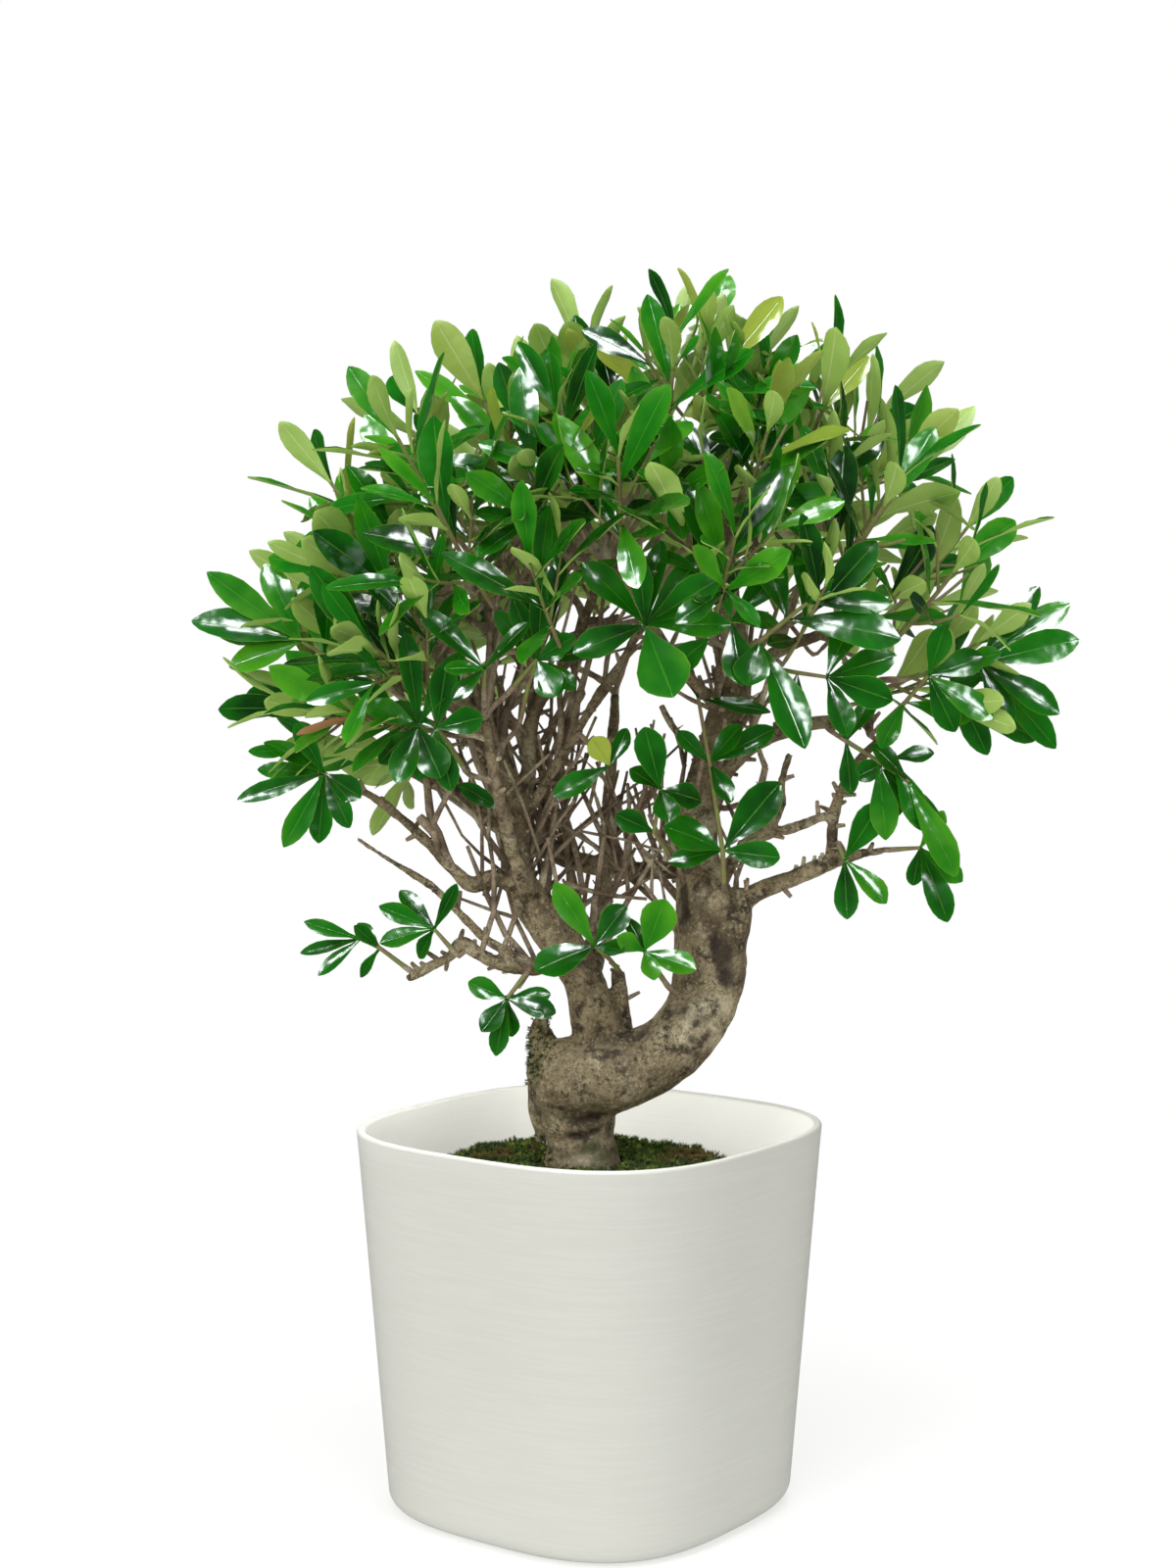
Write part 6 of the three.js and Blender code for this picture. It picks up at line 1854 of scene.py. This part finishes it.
# what a leaf's copy is bent by: the mark on its root, the fact it comes from and that fact's unit
leafMarks = {
    "leafLength": ("length", mm), "leafWidth": ("width", mm), "arch": ("arch", 1), "fold": ("fold", 1),
    "twist": ("twist", 1), "bluntness": ("bluntness", 1)}


def sprayTree():
    # copies the blade to each leaf's root and bends it; a round rod follows each shoot
    board, wires = geometryBoard("spray", {
        "Blade": "Object", "Thickness": "Float", "Petiole": "Float", "Waviness": "Float",
        "Leaf finish": "Material", "Shoot finish": "Material"})
    blade = board.add("GeometryNodeObjectInfo", {}, {"Object": wires["Blade"]}, out="Geometry")
    copies = board.add("GeometryNodeInstanceOnPoints", {}, {
        "Points": wires["Geometry"], "Selection": board.named("isLeaf"), "Instance": blade})
    copies = board.add("GeometryNodeRealizeInstances", {}, {"Geometry": copies})
    share, across, layer, wave = (board.named(name) for name in ("share", "across", "layer", "wave"))
    length, width, arch, fold, twist, bluntness = (board.named(name) for name in leafMarks)
    root, axis, normal = (board.named(name, "FLOAT_VECTOR") for name in ("root", "axis", "normal"))
    side = axis.vector("CROSS_PRODUCT", normal)
    swell = (share ** leaf["fullness"] * math.pi).worked("SINE").worked("MAXIMUM", 0.0) ** (bluntness * 0.85)
    half = (swell * width * 0.5).worked("MAXIMUM", wires["Petiole"] * (1 - share.above(0.0, 0.3)))
    half = half * (1 - share.above(0.97, 1.0))
    turn = twist * share
    aside = across * half * turn.worked("COSINE")
    edge = across.worked("ABSOLUTE")
    flutter = (share * 9.0 + wave * 6.28 + across * 0.8).worked("SINE")
    flutter = flutter * edge * edge * wires["Waviness"] * half
    rise = half * fold * (edge ** 1.3) * 1.15 - across * half * turn.worked("SINE") + flutter
    rise = rise - arch * length * share * share
    rise = rise - layer * wires["Thickness"] * (1 + 0.8 * (1 - share.above(0.0, 0.2)))
    onward = length * share * (1 - arch * share * 0.3)
    place = root.plus(axis.times(onward)).plus(side.times(aside)).plus(normal.times(rise))
    shaped = board.add("GeometryNodeSetPosition", {}, {"Geometry": copies, "Position": place})
    leaves = board.add("GeometryNodeSetMaterial", {}, {"Geometry": shaped, "Material": wires["Leaf finish"]})
    rods = board.closed(board.rods(wires["Geometry"], 6, board.named("thickness")), wires["Shoot finish"])
    both = board.add("GeometryNodeJoinGeometry", {}, {})
    for part in (rods, leaves):
        board.tree.links.new(part.socket, both.socket.node.inputs[0])
    return board.ended(both)


# the marks that stay on the leaves, for their finish
shownMarks = ("share", "across", "underside", "tone", "young", "dry")


def leafFinish():
    finish = Finish("glossyLeaf", leaf["roughness"], Specular_IOR_Level=0.55)
    share, across, under, tone, young, dry = (finish.mark(name) for name in shownMarks)
    edge = across.worked("ABSOLUTE")
    dark, middle, light = (paint(*colour) for colour in leaf["topTones"])
    cloud = finish.grain(0.022, detail=2)
    # lit is the leaf's tone, with its painted shade deeper in the crown, a random cloud, and painted shading:
    # lighter toward the edges and the tip
    lit = tone + (cloud - 0.5) * 0.7 + edge * 0.16 + share * 0.12 - 0.14
    veins = ((share * 15.0 - edge * 3.4) * 6.283).worked("SINE").above(0.72, 1.0)
    veins = veins * (1 - edge.above(0.75, 1.0))
    rib = 1 - edge.above(0.015, 0.07)
    top = finish.layered(
        dark,
        (lit.above(0.0, 0.6), middle),
        (lit.above(0.5, 1.05) * 0.85, light),
        (veins * 0.015, light),
        (rib * 0.4, light))
    # the underside: its own pale colour, lighter still as painted light
    below = finish.layered(
        paint(*leaf["underToneAndPaintedLight"]),
        (cloud.above(0.3, 0.7) * 0.5, paint(*leaf["underCloud"])),
        (veins * 0.12 + rib * 0.75, paint(*leaf["ribTone"])))
    finish.feed("Base Color", finish.layered(
        top,
        (under, below),
        (young * (cloud * 0.4 - rib * 0.3 + 0.62), paint(*leaf["youngTone"])),
        (edge.above(0.945, 1.0) * 0.5, paint(*leaf["edgeTone"])),
        (dry, paint(*leaf["dryTone"]))))
    finish.feed("Roughness", under * 0.35 + dry * 0.4 + cloud * 0.1 + (leaf["roughness"] - 0.05))
    pucker = finish.grain(0.009, detail=1, shift=4.0)
    finish.emboss(pucker - rib * 0.12, 0.0012, 0.5)
    return finish.material


def shootFinish():
    finish = Finish("greenShoot", 0.6, Specular_IOR_Level=0.3)
    green, brown = (paint(*colour) for colour in leaf["shootTones"])
    cloud = finish.grain(0.006, detail=3)
    finish.feed("Base Color", finish.blended(cloud.above(0.4, 0.65), green, brown))
    finish.emboss(cloud, 0.0006, 0.5)
    return finish.material


def leafMiddle(facts):
    return facts["base"] + facts["axis"] * (facts["length"] / 2)


def leafNearest(leaves, spot, deepest):
    # the leaf whose middle is nearest to the spot's x and z, among those nearer the viewer than deepest
    front = (facts for facts in leaves if facts["base"].y < deepest)
    return min(front, key=lambda facts: math.dist(spot, tuple(leafMiddle(facts))[::2]))


def makeSprays(sprays):
    blade, tree = bladeShape(), sprayTree()
    leafMaterial, shootMaterial = leafFinish(), shootFinish()
    everyLeaf = [facts for spray in sprays for facts in spray["leaves"]]
    driest = leafNearest(everyLeaf, leaf["drySpot"], 0)
    youngest = [leafNearest(everyLeaf, spot, 30) for spot in leaf["youngSpots"]]
    for number, spray in enumerate(sprays):
        leaves = spray["leaves"]
        places, edges, thickness = linked(spray["stems"])
        onStems = len(places)
        places += [facts["base"] * mm for facts in leaves]
        piece = pieceOf("leaves_" + spray["name"][6:], places, [], edges=edges)
        draw = seededDraw(seeds["tones"] + number)
        sprayTone = draw()
        least = 0 if spray["name"].startswith("spray_crown") else leaf["leastPlacedTone"]
        tones, young, dry, wave = [], [], [], []
        for facts in leaves:
            middle = leafMiddle(facts)
            # the deeper a leaf is in the crown, the darker its tone: painted shade
            away = [(c - m) / r for c, m, r in zip(crown["centre"], middle, crown["reach"])]
            depth = min(1, max(0, 2.4 - 3 * math.hypot(*away)))
            tones.append(min(1, max(least, 0.25 * sprayTone + 0.75 * draw() - 0.4 * depth)))
            high = middle.z > leaf["youngAbove"] and middle.y < leaf["youngDepth"]
            if facts in youngest:
                young.append(1)
            else:
                young.append(0.3 + 0.5 * draw() if high and draw() < leaf["youngShare"] else 0)
            dry.append(float(facts is driest))
            wave.append(draw())
        # the marks of the stems' places come first, then one of each leaf's root
        columns = {"isLeaf": [1] * len(leaves), "tone": tones, "young": young, "dry": dry, "wave": wave}
        for mark, (fact, unit) in leafMarks.items():
            columns[mark] = [facts[fact] * unit for facts in leaves]
        columns = {mark: [0] * onStems + column for mark, column in columns.items()}
        columns["thickness"] = thickness + [0] * len(leaves)
        vectors = {"root": [facts["base"] * mm for facts in leaves],
                   "axis": [facts["axis"] for facts in leaves],
                   "normal": [facts["normal"] for facts in leaves]}
        addMarks(piece.data, "FLOAT", "POINT", **columns)
        addMarks(piece.data, "FLOAT_VECTOR", "POINT", **{
            mark: [Vector()] * onStems + column for mark, column in vectors.items()})
        grown(piece, tree, {
            "Blade": blade, "Thickness": leaf["thickness"] * mm, "Petiole": leaf["petiole"] * mm,
            "Waviness": leaf["waviness"], "Leaf finish": leafMaterial, "Shoot finish": shootMaterial})
        for mark in {*columns, *vectors, "layer"} - set(shownMarks):
            if mark in piece.data.attributes:
                piece.data.attributes.remove(piece.data.attributes[mark])
        hand(piece, "foliage", spray["name"])
    bpy.data.objects.remove(blade)
    print("sprays ready")


makeStage()
makePlanter()
makeSoil()
mossKit = makeMoss()
limbShapes = addLimbs()
grownSprays = growSprays()
growBareTwigs()
growLowTwigs()
trunk = makeTrunk(limbShapes)
makeTrunkMoss(trunk, *mossKit)
makeTwigs()
makeSprays(grownSprays)
